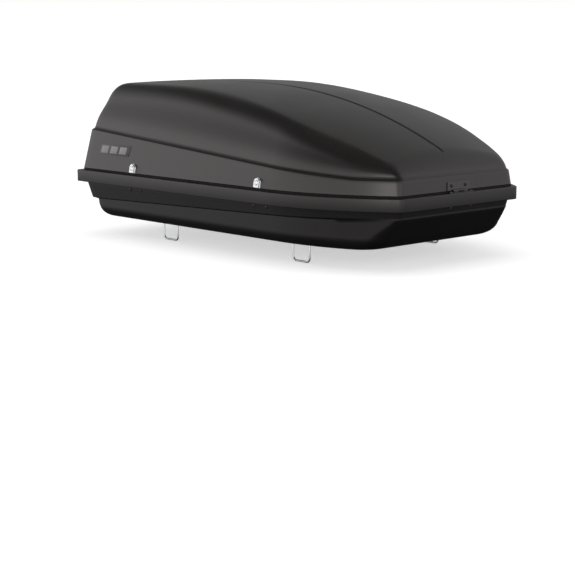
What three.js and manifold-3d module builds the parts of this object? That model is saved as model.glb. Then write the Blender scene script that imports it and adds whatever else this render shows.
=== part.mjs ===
// Roof cargo box: a moulded tub and a lid hinged at the nose, four side locks, a lid stay
// and four U-bolt clamps that hold it down on a pair of roof bars.
// Millimetres. +X points to the nose, +Z up. The origin is on the underside of the tub's floor,
// where it sits on the roof bars, midway along the length and on the centreline.

import * as THREE from 'three';
import { mergeVertices } from 'three/addons/utils/BufferGeometryUtils.js';
import Module from 'manifold-3d';

const wasm = await Module();
wasm.setup();

// ---- Overall sizes ----
const boxLength = 1600;
const boxWidth = 965;
const gap = 0.3; // between parts that touch
const deg = Math.PI / 180;

// ---- Plan outline ----
const noseWidth = 600; // straight front edge, corner to corner
const bowStart = 310; // the sides are straight from the tail to here
const noseRadius = 34;
const tailRadius = 12;
const noseSteps = 2;
const cornerSteps = 3;
const bowSteps = 6;
const sideSteps = 4;
const tailSteps = 1;

// ---- Tub ----
const tubWall = 4;
const rimTop = 186;
const bandHeight = 46;
const bandWall = 5;
const rimRound = 3;
const tubInset = 28; // band face to the wall below it
const tubLean = 0.222;
const ledgeTail = 74; // height of the tub's ledge at the tail
const ledgeNose = 118;
const ledgeStep = 14;
const ledgeDrop = 6;
const ledgeFade = [350, 760]; // the ledge narrows to nothing between these
const keelRadius = 48;
const lowerLean = 0.1;
const lowerRound = 90; // plan radius of the nose corners at the floor
const bowRake = 66; // extra run of the raked front from the ledge down to the floor

// ---- Lid ----
const lidWall = 4;
const lidHeight = 341.7; // foot of the lid to the top of the roof
const lidInset = 19; // band face to the foot of the lid
const sealHeight = 6;
const sealWidth = 12;
const flangeWidth = 12;
const skirtLean = 0.165;
const stepTail = 157.7; // height of the lid's side line over its foot at the tail
const stepNose = 50.7;
const stepEnd = 640; // the side line runs level from here to the nose
const stepIn = 10;
const stepRise = 12;
const wallLean = 0.318;
const noseLean = 0.7;
const roofStart = -350; // the roof is level behind here
const roofDrop = 188; // fall over one metre ahead of it
const roofPower = 2.34;
const crownTail = 6; // fall of the roof from the middle to crownAt either side
const crownNose = 26;
const crownAt = 350;
const hipRun = 62; // reach of the rounded edge between wall and roof
const roofCentre = -60;
const channelWidth = 22;
const channelDepth = 3;
const channelTail = -420;
const channelNose = 705;

// ---- Nose hinge ----
const pinSet = 1; // from the lid's leaf to the knuckles
const pinDiameter = 5;
const knuckleRadius = 4.5;
const knuckleHalf = 14; // half length of the lid's middle knuckle
const knuckleEnd = 34;
const leafWall = 2.5;
const lidLeafWidth = 124;
const lidLeafHeight = 31;
const lidBoltPitch = 73;
const baseLeafLength = 124;
const baseLeafWidth = 14;
const baseBoltPitch = 104;
const boltDiameter = 5;
const boltHead = 11;
const boltHeadHeight = 3.5;

// ---- Side locks ----
const lockPlaces = [-450, 264];
const lockWidth = 30;
const lockHeight = 36;
const lockDepth = 11.5;
const lockAxis = 19; // barrel axis above the lid's foot, up the wall
const barrelDiameter = 17;
const barrelShaft = 13;
const barrelReach = 14; // from the lid's face to the barrel's inner end
const keySlot = 7;
const camThickness = 3;
const camHub = 8;
const camReach = 21;
const camWidth = 9;
const strikeWall = 2.5;
const strikeFoot = 84;
const strikeDrop = 28; // band's lower edge to the strike's foot
const strikeArm = [-12, 22];
const strikeTab = 10; // start of the tab that the cam turns under
const strikeSet = 43.5; // inset of the strike's arm
const tabReach = 37.5;
const tabClear = 1.2;
const rivetPitch = 66;
const rivetDiameter = 6;
const rivetHead = 12;
const rivetDrop = 11; // band's lower edge to the rivets

// ---- Roof bar clamps ----
const barPlaces = [-376, 356];
const clampEdge = 36.67; // edge of the flat floor to the middle of a clamp
const legPitch = 84;
const rodDiameter = 7;
const legTop = 50;
const hookDepth = 66; // floor underside to the middle of the U-bolt's bottom
const hookRadius = 16;
const railWidth = 112;
const railWall = 3;
const railEnd = 30; // floor rail past the middle of a clamp
const plateLength = 126;
const plateWidth = 38;
const plateHeight = 8;
const knobRadius = 23;
const knobWaist = 15;
const knobHeight = 13;
const knobHub = 11;
const knobHubHeight = 25;
const knobLobes = 4;

// ---- Lid stay ----
const stayAt = 120; // pivot along the box
const stayDrop = 28; // rim top to the pivot
const stayInset = 45;
const stayLength = 417;
const stayDiameter = 8;
const stayEye = 9;
const stayPin = 6;
const stayAngle = 30 * deg; // lid angle at which the stay stands upright

// ---- Emblem ----
const emblemAt = -585;
const emblemLift = 82; // up the skirt from the lid's foot
const emblemLength = 190;
const emblemHeight = 40;
const emblemSlant = 12;

// ---- Materials ----
function finish(color, roughness, metalness) {
  return new THREE.MeshStandardMaterial({ color, roughness, metalness });
}
const lidPlastic = finish(0x2b2a2b, 0.42, 0);
const tubPlastic = finish(0x232223, 0.5, 0);
const rubber = finish(0x101010, 0.85, 0);
const knobPlastic = finish(0x1a1a1b, 0.55, 0);
const silver = finish(0xb9bcc0, 0.3, 1);
const blackSteel = finish(0x1d1d1f, 0.4, 0.8);
const zincSteel = finish(0xa4a7aa, 0.38, 1);
const badgeGrey = finish(0x6d6f73, 0.35, 0.7);

const object = new THREE.Group();

function add(name, geometry, material, parent = object) {
  const mesh = new THREE.Mesh(geometry, material);
  mesh.name = name;
  parent.add(mesh);
  return mesh;
}

// ---- Solids: cutting and joining ----
function solid(geometry) {
  const plain = geometry.clone();
  plain.deleteAttribute('normal');
  plain.deleteAttribute('uv');
  const merged = mergeVertices(plain, 1e-3);
  const positions = merged.attributes.position.array;
  const index = [];
  for (let i = 0; i < merged.index.count; i += 3) {
    const [a, b, c] = [0, 1, 2].map((k) => merged.index.array[i + k]);
    if (a !== b && b !== c && c !== a) {
      index.push(a, b, c);
    }
  }
  const mesh = new wasm.Mesh({
    numProp: 3,
    vertProperties: new Float32Array(positions),
    triVerts: new Uint32Array(index),
  });
  return new wasm.Manifold(mesh);
}

function surface(manifold) {
  const mesh = manifold.getMesh();
  const geometry = new THREE.BufferGeometry();
  geometry.setAttribute('position', new THREE.BufferAttribute(new Float32Array(mesh.vertProperties), 3));
  geometry.setIndex(new THREE.BufferAttribute(new Uint32Array(mesh.triVerts), 1));
  geometry.computeVertexNormals();
  return geometry;
}

function cut(geometry, tools) {
  const result = tools.reduce((body, tool) => body.subtract(solid(tool)), solid(geometry));
  return surface(result);
}

function join(geometry, others) {
  const result = others.reduce((body, other) => body.add(solid(other)), solid(geometry));
  return surface(result);
}

// ---- Simple shapes ----
function block(x0, x1, y0, y1, z0, z1) {
  const geometry = new THREE.BoxGeometry(x1 - x0, y1 - y0, z1 - z0);
  return geometry.translate((x0 + x1) / 2, (y0 + y1) / 2, (z0 + z1) / 2);
}

// A round bar along Z from z0 to z1.
function bar(radius, z0, z1, sides = 16) {
  const geometry = new THREE.CylinderGeometry(radius, radius, z1 - z0, sides);
  return geometry.rotateX(90 * deg).translate(0, 0, (z0 + z1) / 2);
}

// A turned piece about Z from [radius, z] points, first and last on the axis.
function turned(points, sides = 12) {
  const profile = points.map(([radius, z]) => new THREE.Vector2(radius, z));
  return new THREE.LatheGeometry(profile, sides).rotateX(90 * deg);
}

function slab(shape, z0, z1) {
  return new THREE.ExtrudeGeometry(shape, { depth: z1 - z0, bevelEnabled: false, curveSegments: 8 })
    .translate(0, 0, z0);
}

function polygon(points) {
  return new THREE.Shape(points.map(([x, y]) => new THREE.Vector2(x, y)));
}

// Turns a section drawn in (y, z) and extruded upwards into one extruded along X.
function alongX(geometry) {
  const turn = new THREE.Matrix4().makeBasis(
    new THREE.Vector3(0, 1, 0), new THREE.Vector3(0, 0, 1), new THREE.Vector3(1, 0, 0));
  return geometry.applyMatrix4(turn);
}

// ---- Plan outline ----
// The bow of each side is an arc that leaves the straight side at bowStart and meets the nose.
const bowReach = boxLength / 2 - bowStart;
const bowDrop = (boxWidth - noseWidth) / 2;
const bowRadius = (bowReach ** 2 + bowDrop ** 2) / (2 * bowDrop);
const bowCentre = boxWidth / 2 - bowRadius;

// Points round the plan, inset from the band's face by its own amount at the nose, sides and tail.
function outline({ nose, side, tail = side, noseRound = noseRadius, tailRound = tailRadius }) {
  const front = boxLength / 2 - nose;
  const back = -boxLength / 2 + tail;
  const half = boxWidth / 2 - side;
  const arc = bowRadius - side;
  const cornerX = front - noseRound;
  const cornerY = bowCentre + Math.sqrt((arc - noseRound) ** 2 - (cornerX - bowStart) ** 2);
  const turnEnd = Math.atan2(cornerY - bowCentre, cornerX - bowStart);
  const right = [];
  for (let i = 0; i < noseSteps; i += 1) {
    right.push([front, cornerY * i / noseSteps]);
  }
  for (let i = 0; i < cornerSteps; i += 1) {
    const angle = turnEnd * i / cornerSteps;
    right.push([cornerX + noseRound * Math.cos(angle), cornerY + noseRound * Math.sin(angle)]);
  }
  for (let i = 0; i < bowSteps; i += 1) {
    const angle = turnEnd + (90 * deg - turnEnd) * i / bowSteps;
    right.push([bowStart + arc * Math.cos(angle), bowCentre + arc * Math.sin(angle)]);
  }
  for (let i = 0; i < sideSteps; i += 1) {
    right.push([bowStart + (back + tailRound - bowStart) * i / sideSteps, half]);
  }
  for (let i = 0; i < cornerSteps; i += 1) {
    const angle = 90 * deg + 90 * deg * i / cornerSteps;
    const x = back + tailRound + tailRound * Math.cos(angle);
    right.push([x, half - tailRound + tailRound * Math.sin(angle)]);
  }
  for (let i = 0; i <= tailSteps; i += 1) {
    right.push([back, (half - tailRound) * (1 - i / tailSteps)]);
  }
  const left = right.slice(1, -1).reverse().map(([x, y]) => [x, -y]);
  return right.concat(left);
}

// One ring of points, where the rule gives the insets and the height at a place in plan.
function ring(rule) {
  return outline({ nose: 0, side: 0 }).map((start, j) => {
    let [x, y] = start;
    let level = rule(x, y);
    for (let pass = 0; pass < 3; pass += 1) {
      [x, y] = outline(level)[j];
      level = rule(x, y);
    }
    return new THREE.Vector3(x, y, level.z);
  });
}

// Skins a list of rings. A single point at either end closes it there, else it closes on itself.
function skin(rings, first, last) {
  const count = rings[0].length;
  const points = rings.flat();
  const index = [];
  const quads = first ? rings.length - 1 : rings.length;
  for (let i = 0; i < quads; i += 1) {
    const next = (i + 1) % rings.length;
    for (let j = 0; j < count; j += 1) {
      const k = (j + 1) % count;
      index.push(i * count + j, i * count + k, next * count + k);
      index.push(i * count + j, next * count + k, next * count + j);
    }
  }
  if (first) {
    const top = (rings.length - 1) * count;
    const foot = points.push(first) - 1;
    const peak = points.push(last) - 1;
    for (let j = 0; j < count; j += 1) {
      const k = (j + 1) % count;
      index.push(foot, k, j);
      index.push(peak, top + j, top + k);
    }
  }
  const geometry = new THREE.BufferGeometry().setFromPoints(points);
  geometry.setIndex(index);
  return geometry;
}

// ---- Shape of the tub ----
const bandBottom = rimTop - bandHeight;
const shelfEdge = tubInset + tubWall;
const strikeBottom = bandBottom - strikeDrop;
const rivetHeight = bandBottom - rivetDrop;
const stayHeight = rimTop - stayDrop;

function ledgeHeight(x) {
  const share = THREE.MathUtils.clamp((x + boxLength / 2) / boxLength, 0, 1);
  return ledgeTail + (ledgeNose - ledgeTail) * share;
}

function upperInset(z) {
  return tubInset + Math.max(0, bandBottom - z) * tubLean;
}

// Inset of the wall below the ledge, which narrows to nothing towards the nose.
function sideInset(x, z) {
  const step = ledgeStep * (1 - THREE.MathUtils.smoothstep(x, ...ledgeFade));
  return upperInset(ledgeHeight(x)) + step + (ledgeHeight(x) - z) * lowerLean;
}

// Rings of the tub's skin from the middle of the floor up to the band; wall is 0 for the outer skin.
function tubRings(wall) {
  const rakeAt = (x, z) => bowRake * (1 - z / (ledgeHeight(x) - ledgeDrop));
  const floorRing = (turn) => ring((x) => {
    const radius = keelRadius - wall;
    const z = wall + radius * (1 - Math.sin(turn));
    const side = sideInset(x, keelRadius) + wall + radius * (1 - Math.cos(turn));
    return { nose: side + rakeAt(x, z), side, z, noseRound: lowerRound, tailRound: tailRadius + 12 };
  });
  const rakeRing = (share) => ring((x) => {
    const top = ledgeHeight(x) - ledgeDrop;
    const z = top + (keelRadius - top) * share;
    const side = sideInset(x, z) + wall;
    return { nose: side + rakeAt(x, z), side, z,
      noseRound: noseRadius + (lowerRound - noseRadius) * share, tailRound: tailRadius + 6 };
  });
  const ledgeRing = ring((x) => {
    const z = ledgeHeight(x) + wall * 0.6;
    const side = upperInset(z) + wall;
    return { nose: side, side, z };
  });
  const quarter = [90, 60, 30, 0].map((turn) => floorRing(turn * deg));
  return [...quarter, rakeRing(0.5), rakeRing(0), ledgeRing];
}

function level(inset, z, noseRound = noseRadius, tailRound = tailRadius) {
  return ring(() => ({ nose: inset, side: inset, z, noseRound, tailRound }));
}

function tubSkin() {
  const outer = tubRings(0);
  const inner = tubRings(tubWall);
  const rings = [
    ...outer,
    level(tubInset, bandBottom),
    level(tubInset, rimTop - tubWall),
    level(bandWall, rimTop - tubWall),
    level(bandWall, bandBottom),
    level(0, bandBottom),
    level(0, rimTop - rimRound),
    level(rimRound * 0.3, rimTop - rimRound * 0.3),
    level(rimRound, rimTop),
    level(shelfEdge, rimTop),
    level(shelfEdge, bandBottom),
    ...inner.reverse(),
  ];
  return skin(rings, new THREE.Vector3(0, 0, 0), new THREE.Vector3(0, 0, tubWall));
}

// ---- Shape of the lid ----
const lidFoot = rimTop + sealHeight + gap;
const roofTop = lidFoot + lidHeight;
const metre = 1000;

function stepHeight(x) {
  const run = Math.max(0, stepEnd - x);
  return lidFoot + stepNose + (stepTail - stepNose) * run / (stepEnd + boxLength / 2);
}

function roofHeight(x, y) {
  const ahead = Math.max(0, x - roofStart) / metre;
  const share = THREE.MathUtils.smoothstep(x, roofStart - 100, roofStart + 500);
  const crown = crownTail + (crownNose - crownTail) * share;
  return roofTop - roofDrop * ahead ** roofPower - crown * (y / crownAt) ** 2;
}

function skirtInset(z) {
  return lidInset + (z - lidFoot) * skirtLean;
}

// A point of the wall above the side line, rise above it, for the skin that lies wall further in.
function wallPoint(j, rise, wall) {
  let [x, y] = outline({ nose: 0, side: 0 })[j];
  let z = 0;
  for (let pass = 0; pass < 3; pass += 1) {
    z = stepHeight(x) + stepRise + rise;
    const base = skirtInset(stepHeight(x)) + stepIn + wall;
    const plan = { nose: base + rise * noseLean, side: base + rise * wallLean,
      noseRound: noseRadius + rise * 0.3, tailRound: tailRadius + rise * 0.1 };
    [x, y] = outline(plan)[j];
  }
  return new THREE.Vector3(x, y, z);
}

// Height above the side line at which the wall meets the roof.
function wallRise(j, wall) {
  let low = 0;
  let high = roofTop;
  for (let pass = 0; pass < 24; pass += 1) {
    const middle = (low + high) / 2;
    const point = wallPoint(j, middle, wall);
    if (point.z < roofHeight(point.x, point.y) - wall) {
      low = middle;
    } else {
      high = middle;
    }
  }
  return low;
}

// Rings of the lid's skin above the side line, up to the last ring before the middle of the roof.
function roofRings(wall) {
  const count = outline({ nose: 0, side: 0 }).length;
  const middle = new THREE.Vector3(roofCentre, 0, 0);
  const strips = [];
  for (let j = 0; j < count; j += 1) {
    const rise = wallRise(j, wall);
    const run = Math.min(hipRun, rise * 0.8);
    const crest = wallPoint(j, rise, wall);
    const start = wallPoint(j, rise - run, wall);
    const inwards = middle.clone().setZ(crest.z).sub(crest).setLength(run);
    const end = crest.clone().add(inwards);
    end.z = roofHeight(end.x, end.y) - wall;
    const hip = new THREE.QuadraticBezierCurve3(start, crest, end);
    const strip = [wallPoint(j, 0, wall), ...hip.getPoints(4)];
    for (const share of [0.25, 0.5, 0.75]) {
      const point = end.clone().lerp(middle, share);
      point.z = roofHeight(point.x, point.y) - wall;
      strip.push(point);
    }
    strips.push(strip);
  }
  return strips[0].map((_, i) => strips.map((strip) => strip[i]));
}

function skirtRing(wall) {
  return ring((x) => {
    const z = stepHeight(x);
    return { nose: skirtInset(z) + wall, side: skirtInset(z) + wall, z };
  });
}

function lidSkin() {
  const peak = (wall) => new THREE.Vector3(roofCentre, 0, roofHeight(roofCentre, 0) - wall);
  const flangeEdge = lidInset + flangeWidth;
  const flangeTop = lidFoot + lidWall;
  const rings = [
    ...roofRings(lidWall).reverse(),
    skirtRing(lidWall),
    level(skirtInset(flangeTop) + lidWall, flangeTop),
    level(flangeEdge, flangeTop),
    level(flangeEdge, lidFoot),
    level(lidInset, lidFoot),
    skirtRing(0),
    ...roofRings(0),
  ];
  return skin(rings, peak(lidWall), peak(0));
}

// A strip that follows the roof's centreline, from below to above its surface.
function roofStrip(tail, nose, below, above, width) {
  const steps = 24;
  const edge = (offset) => Array.from({ length: steps + 1 }, (_, i) => {
    const x = tail + (nose - tail) * i / steps;
    return [x, roofHeight(x, 0) + offset];
  });
  const shape = polygon([...edge(-below), ...edge(above).reverse()]);
  return slab(shape, -width / 2, width / 2).rotateX(90 * deg);
}

// ---- Places on the walls ----
// A frame on a leaning wall: x along it, y up it and z straight out. The turn is about the
// vertical: 0 faces the -Y side, 180 the +Y side and 90 the nose.
function wallFrame(turn, along, distance, height, lean) {
  const around = new THREE.Group();
  around.rotation.z = turn;
  const frame = new THREE.Group();
  frame.position.set(along, -distance, height);
  frame.rotation.x = 90 * deg - lean;
  around.add(frame);
  object.add(around);
  around.updateMatrixWorld(true);
  return frame;
}

const skirtAngle = Math.atan(skirtLean);
const tubAngle = -Math.atan(tubLean);
const sides = [
  { name: 'near', turn: 0, sign: 1 },
  { name: 'far', turn: 180 * deg, sign: -1 },
];
const ends = ['rear', 'front'];

const lidTools = [];
const tubTools = [];

// ---- Nose hinge ----
const lidFace = boxLength / 2 - lidInset;
const pinX = lidFace + leafWall + knuckleRadius + pinSet;
const leafTop = rimTop + gap + leafWall;
const pinZ = leafTop + 2 * gap + knuckleRadius;
const pinHole = pinDiameter / 2 + gap;

function knuckle(y0, y1) {
  return bar(knuckleRadius, y0, y1).rotateX(90 * deg).translate(pinX, 0, pinZ);
}

function pinBore(half) {
  return bar(pinHole, -half, half, 16).rotateX(90 * deg).translate(pinX, 0, pinZ);
}

function makeHinge() {
  const frame = wallFrame(90 * deg, 0, lidFace, lidFoot, skirtAngle);
  const half = lidLeafWidth / 2;
  const plate = slab(polygon([
    [-half, 2.5], [half, 2.5], [half - 6, lidLeafHeight], [-half + 6, lidLeafHeight],
  ]), gap, gap + leafWall);
  const boltHoles = [-1, 1].map((side) => bar(boltDiameter / 2 + gap, -20, 20, 12)
    .translate(side * lidBoltPitch / 2, lidLeafHeight / 2 + 2, 0));
  const drilled = cut(plate, boltHoles).applyMatrix4(frame.matrixWorld);
  const bridge = block(
    lidFace + gap + leafWall * 0.4, pinX, -knuckleHalf, knuckleHalf, pinZ, pinZ + knuckleRadius,
  );
  const joined = join(drilled, [bridge, knuckle(-knuckleHalf, knuckleHalf)]);
  const lidLeaf = cut(joined, [pinBore(knuckleHalf + 1)]);
  add('hinge_lid_leaf', lidLeaf, blackSteel);
  lidTools.push(...boltHoles.map((hole) => hole.clone().applyMatrix4(frame.matrixWorld)));

  const outer = gap + leafWall + gap;
  const inner = -lidWall - gap;
  const boltProfile = [[0, inner - 4], [4.5, inner - 4], [4.5, inner], [boltDiameter / 2, inner],
    [boltDiameter / 2, outer], [boltHead / 2, outer], [boltHead / 2, outer + boltHeadHeight - 1],
    [boltHead / 2 - 1, outer + boltHeadHeight], [2.6, outer + boltHeadHeight],
    [2.6, outer + 1.2], [0, outer + 1.2]];
  ['a', 'b'].forEach((letter, i) => {
    const bolt = add(`hinge_lid_bolt_${letter}`, turned(boltProfile), blackSteel, frame);
    bolt.position.set((i - 0.5) * lidBoltPitch, lidLeafHeight / 2 + 2, 0);
  });

  const baseX = pinX;
  const baseHalf = baseLeafLength / 2;
  const clear = knuckleHalf + 2 * gap;
  const plateBase = block(baseX - baseLeafWidth / 2 + 1, baseX + baseLeafWidth / 2 + 1, -baseHalf, baseHalf,
    rimTop + gap, leafTop);
  const saddles = [-1, 1].map((side) => {
    const [y0, y1] = side < 0 ? [-knuckleEnd, -clear] : [clear, knuckleEnd];
    return join(knuckle(y0, y1),
      [block(baseX - 3, baseX + knuckleRadius, y0, y1, leafTop - 1, pinZ)]);
  });
  const boltX = baseX + 1;
  const baseHoles = [-1, 1].map((side) => bar(boltDiameter / 2 + gap, rimTop - 20, leafTop + 10, 12)
    .translate(boltX, side * baseBoltPitch / 2, 0));
  const baseLeaf = cut(join(plateBase, saddles), [pinBore(knuckleEnd + 1), ...baseHoles]);
  add('hinge_base_leaf', baseLeaf, blackSteel);
  tubTools.push(...baseHoles);

  const washer = rimTop - tubWall - gap;
  const foot = bandBottom - 6;
  const longBolt = [[0, foot], [boltDiameter / 2, foot], [boltDiameter / 2, foot + 4], [4.5, foot + 4],
    [4.5, foot + 9], [boltDiameter / 2 + 1, foot + 9], [boltDiameter / 2 + 1, washer - 1],
    [4.5, washer - 1], [4.5, washer], [boltDiameter / 2, washer], [boltDiameter / 2, leafTop + gap],
    [boltHead / 2, leafTop + gap], [boltHead / 2, leafTop + boltHeadHeight],
    [2.6, leafTop + boltHeadHeight], [2.6, leafTop + 1.4], [0, leafTop + 1.4]];
  ['a', 'b'].forEach((letter, i) => {
    const bolt = add(`hinge_base_bolt_${letter}`, turned(longBolt), blackSteel);
    bolt.position.set(boltX, (i - 0.5) * baseBoltPitch, 0);
  });
  const pinLength = knuckleEnd + 2;
  add('hinge_pin', bar(pinDiameter / 2, -pinLength, pinLength, 16).rotateX(90 * deg).translate(pinX, 0, pinZ),
    zincSteel);
}

// ---- Side locks ----
function archShape(width, height) {
  const shape = new THREE.Shape();
  shape.moveTo(-width / 2, 0);
  shape.lineTo(width / 2, 0);
  shape.lineTo(width / 2, height - width / 2);
  shape.absarc(0, height - width / 2, width / 2, 0, 180 * deg, false);
  shape.closePath();
  return shape;
}

function makeLock(name, turn, along) {
  const frame = wallFrame(turn, along, boxWidth / 2 - lidInset, lidFoot, skirtAngle);
  const edge = 1.5;
  const arch = new THREE.ExtrudeGeometry(archShape(lockWidth - 2 * edge, lockHeight - 2 * edge), {
    depth: lockDepth - gap - 2 * edge,
    bevelThickness: edge,
    bevelSize: edge,
    bevelSegments: 1,
    curveSegments: 10,
  }).translate(0, 1 + edge, gap + edge);
  const bore = bar(barrelDiameter / 2 + gap, -1, lockDepth + 2).translate(0, lockAxis, 0);
  add(`${name}_housing`, cut(arch, [bore]), silver, frame);

  const shaftHole = bar(barrelShaft / 2 + gap, -2 * lidWall, gap + 1).translate(0, lockAxis, 0);
  lidTools.push(shaftHole.applyMatrix4(frame.matrixWorld));

  const face = lockDepth + 0.6;
  const barrel = turned([
    [0, -barrelReach], [barrelShaft / 2, -barrelReach], [barrelShaft / 2, 2 * gap],
    [barrelDiameter / 2, 2 * gap], [barrelDiameter / 2, face - 0.8],
    [barrelDiameter / 2 - 0.8, face], [0, face],
  ]);
  const slot = block(-0.8, 0.8, -keySlot / 2, keySlot / 2, face - 5, face + 1);
  add(`${name}_barrel`, cut(barrel, [slot]), silver, frame).position.y = lockAxis;

  const tongue = new THREE.Shape();
  const half = camWidth / 2;
  const tip = camReach - half;
  const root = Math.asin(half / camHub);
  tongue.absarc(0, 0, camHub, -90 * deg + root, 270 * deg - root, false);
  tongue.lineTo(-half, -tip);
  tongue.absarc(0, -tip, half, 180 * deg, 360 * deg, false);
  tongue.closePath();
  const camTop = -barrelReach - gap;
  add(`${name}_cam`, slab(tongue, camTop - camThickness, camTop), zincSteel, frame).position.y = lockAxis;
}

// The strike stands inside the tub: a foot riveted to the wall, an arm and a tab over the cam.
function makeStrike(name, turn, along) {
  const around = new THREE.Group();
  around.rotation.z = turn;
  object.add(around);
  around.updateMatrixWorld(true);
  const wallFace = (z) => upperInset(z) + tubWall + gap;
  const camDepth = barrelReach + gap + camThickness / 2;
  const camMiddle = lidFoot + lockAxis * Math.cos(skirtAngle) - camDepth * Math.sin(skirtAngle);
  const tab = camMiddle + camWidth / 2 + tabClear;
  const knee = bandBottom + 10;
  const section = polygon([
    [wallFace(strikeBottom), strikeBottom], [wallFace(bandBottom), bandBottom], [wallFace(bandBottom), knee],
    [strikeSet, knee + 14], [strikeSet, tab], [tabReach, tab], [tabReach, tab + strikeWall],
    [strikeSet + strikeWall, tab + strikeWall], [strikeSet + strikeWall, knee + 13],
    [wallFace(bandBottom) + strikeWall, knee - 1], [wallFace(bandBottom) + strikeWall, bandBottom],
    [wallFace(strikeBottom) + strikeWall, strikeBottom],
  ]);
  const half = strikeFoot / 2;
  const body = alongX(slab(section, -half, half)).translate(0, -boxWidth / 2, 0);
  const high = tab + 10;
  const edgeY = -boxWidth / 2;
  const tools = [
    block(-half - 1, strikeArm[0], edgeY, edgeY + 60, bandBottom + 2, high),
    block(strikeArm[1], half + 1, edgeY, edgeY + 60, bandBottom + 2, high),
    block(strikeArm[0] - 1, strikeTab, edgeY, edgeY + strikeSet, tab - 1, high),
  ];
  const rivetFrame = wallFrame(turn, along, boxWidth / 2 - upperInset(rivetHeight), rivetHeight, tubAngle);
  const shank = rivetDiameter / 2;
  const inner = -tubWall * Math.cos(tubAngle) - gap - strikeWall * Math.cos(tubAngle) - gap;
  const rivet = [[0, inner - 2], [5, inner - 2], [5, inner], [shank, inner], [shank, gap],
    [rivetHead / 2, gap], [rivetHead / 2 - 0.8, gap + 1.4], [rivetHead / 2 - 2.6, gap + 2.4], [0, gap + 2.7]];
  ['a', 'b'].forEach((letter, i) => {
    const x = (i - 0.5) * rivetPitch;
    add(`${name}_rivet_${letter}`, turned(rivet, 10), blackSteel, rivetFrame).position.x = x;
    const hole = bar(shank + gap, inner - 5, 5, 16).translate(x, 0, 0).applyMatrix4(rivetFrame.matrixWorld);
    tubTools.push(hole);
    const local = hole.clone().applyMatrix4(around.matrixWorld.clone().invert()).translate(-along, 0, 0);
    tools.push(local);
  });
  add(`${name}_strike`, cut(body, tools), zincSteel, around).position.x = along;
}

// ---- Roof bar clamps ----
class HookPath extends THREE.CurvePath {
  constructor(half, top, depth, radius) {
    super();
    const v = (x, z) => new THREE.Vector3(x, 0, z);
    const bend = radius;
    const [left, right] = [v(-half, -depth + bend), v(half, -depth + bend)];
    const [leftFoot, rightFoot] = [v(-half + bend, -depth), v(half - bend, -depth)];
    this.add(new THREE.LineCurve3(v(-half, top), left));
    this.add(new THREE.QuadraticBezierCurve3(left, v(-half, -depth), leftFoot));
    this.add(new THREE.LineCurve3(leftFoot, rightFoot));
    this.add(new THREE.QuadraticBezierCurve3(rightFoot, v(half, -depth), right));
    this.add(new THREE.LineCurve3(right, v(half, top)));
  }
}

function roundSection(radius, sides) {
  const points = Array.from({ length: sides }, (_, i) => {
    const angle = 360 * deg * i / sides;
    return [radius * Math.cos(angle), radius * Math.sin(angle)];
  });
  return polygon(points);
}

function knobShape() {
  const steps = knobLobes * 4;
  const points = Array.from({ length: steps }, (_, i) => {
    const angle = 360 * deg * i / steps;
    const radius = (knobRadius + knobWaist) / 2 + (knobRadius - knobWaist) / 2 * Math.cos(knobLobes * angle);
    return [radius * Math.cos(angle), radius * Math.sin(angle)];
  });
  return polygon(points);
}

const clampSpread = boxWidth / 2 - sideInset(barPlaces[0], keelRadius) - keelRadius - clampEdge;
const railLength = 2 * (clampSpread + railEnd);
const railBottom = tubWall + gap;
const plateBottom = railBottom + railWall + gap;
const knobBottom = plateBottom + plateHeight + gap;
const legHole = rodDiameter / 2 + gap;

function makeClamp(name, x, y) {
  const frame = new THREE.Group();
  frame.position.set(x, y, 0);
  object.add(frame);
  const path = new HookPath(legPitch / 2, legTop, hookDepth, hookRadius);
  const hook = new THREE.ExtrudeGeometry(roundSection(rodDiameter / 2, 8),
    { steps: 20, bevelEnabled: false, extrudePath: path });
  add(`${name}_u_bolt`, hook, zincSteel, frame);

  const legs = [-1, 1].map((side) => side * legPitch / 2);
  const holes = legs.map((leg) => bar(legHole, -10, legTop + 10, 12).translate(leg, 0, 0));
  const plate = block(-plateLength / 2, plateLength / 2, -plateWidth / 2, plateWidth / 2,
    plateBottom, plateBottom + plateHeight);
  add(`${name}_plate`, cut(plate, holes), knobPlastic, frame);

  const grip = slab(knobShape(), 0, knobHeight);
  const hub = bar(knobHub, 0, knobHubHeight, 12);
  const knob = cut(join(grip, [hub]), [bar(legHole, -1, knobHubHeight + 1, 12)]);
  ['a', 'b'].forEach((letter, i) => {
    add(`${name}_knob_${letter}`, knob, knobPlastic, frame).position.set(legs[i], 0, knobBottom);
  });
  return holes.map((hole) => hole.clone().translate(x, y, 0));
}

function makeClamps() {
  barPlaces.forEach((x, i) => {
    const holes = sides.flatMap(
      ({ name, sign }) => makeClamp(`${ends[i]}_${name}_clamp`, x, -sign * clampSpread),
    );
    const rail = block(x - railWidth / 2, x + railWidth / 2, -railLength / 2, railLength / 2,
      railBottom, railBottom + railWall);
    add(`${ends[i]}_floor_rail`, cut(rail, holes), zincSteel);
    tubTools.push(...holes);
  });
}

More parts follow.
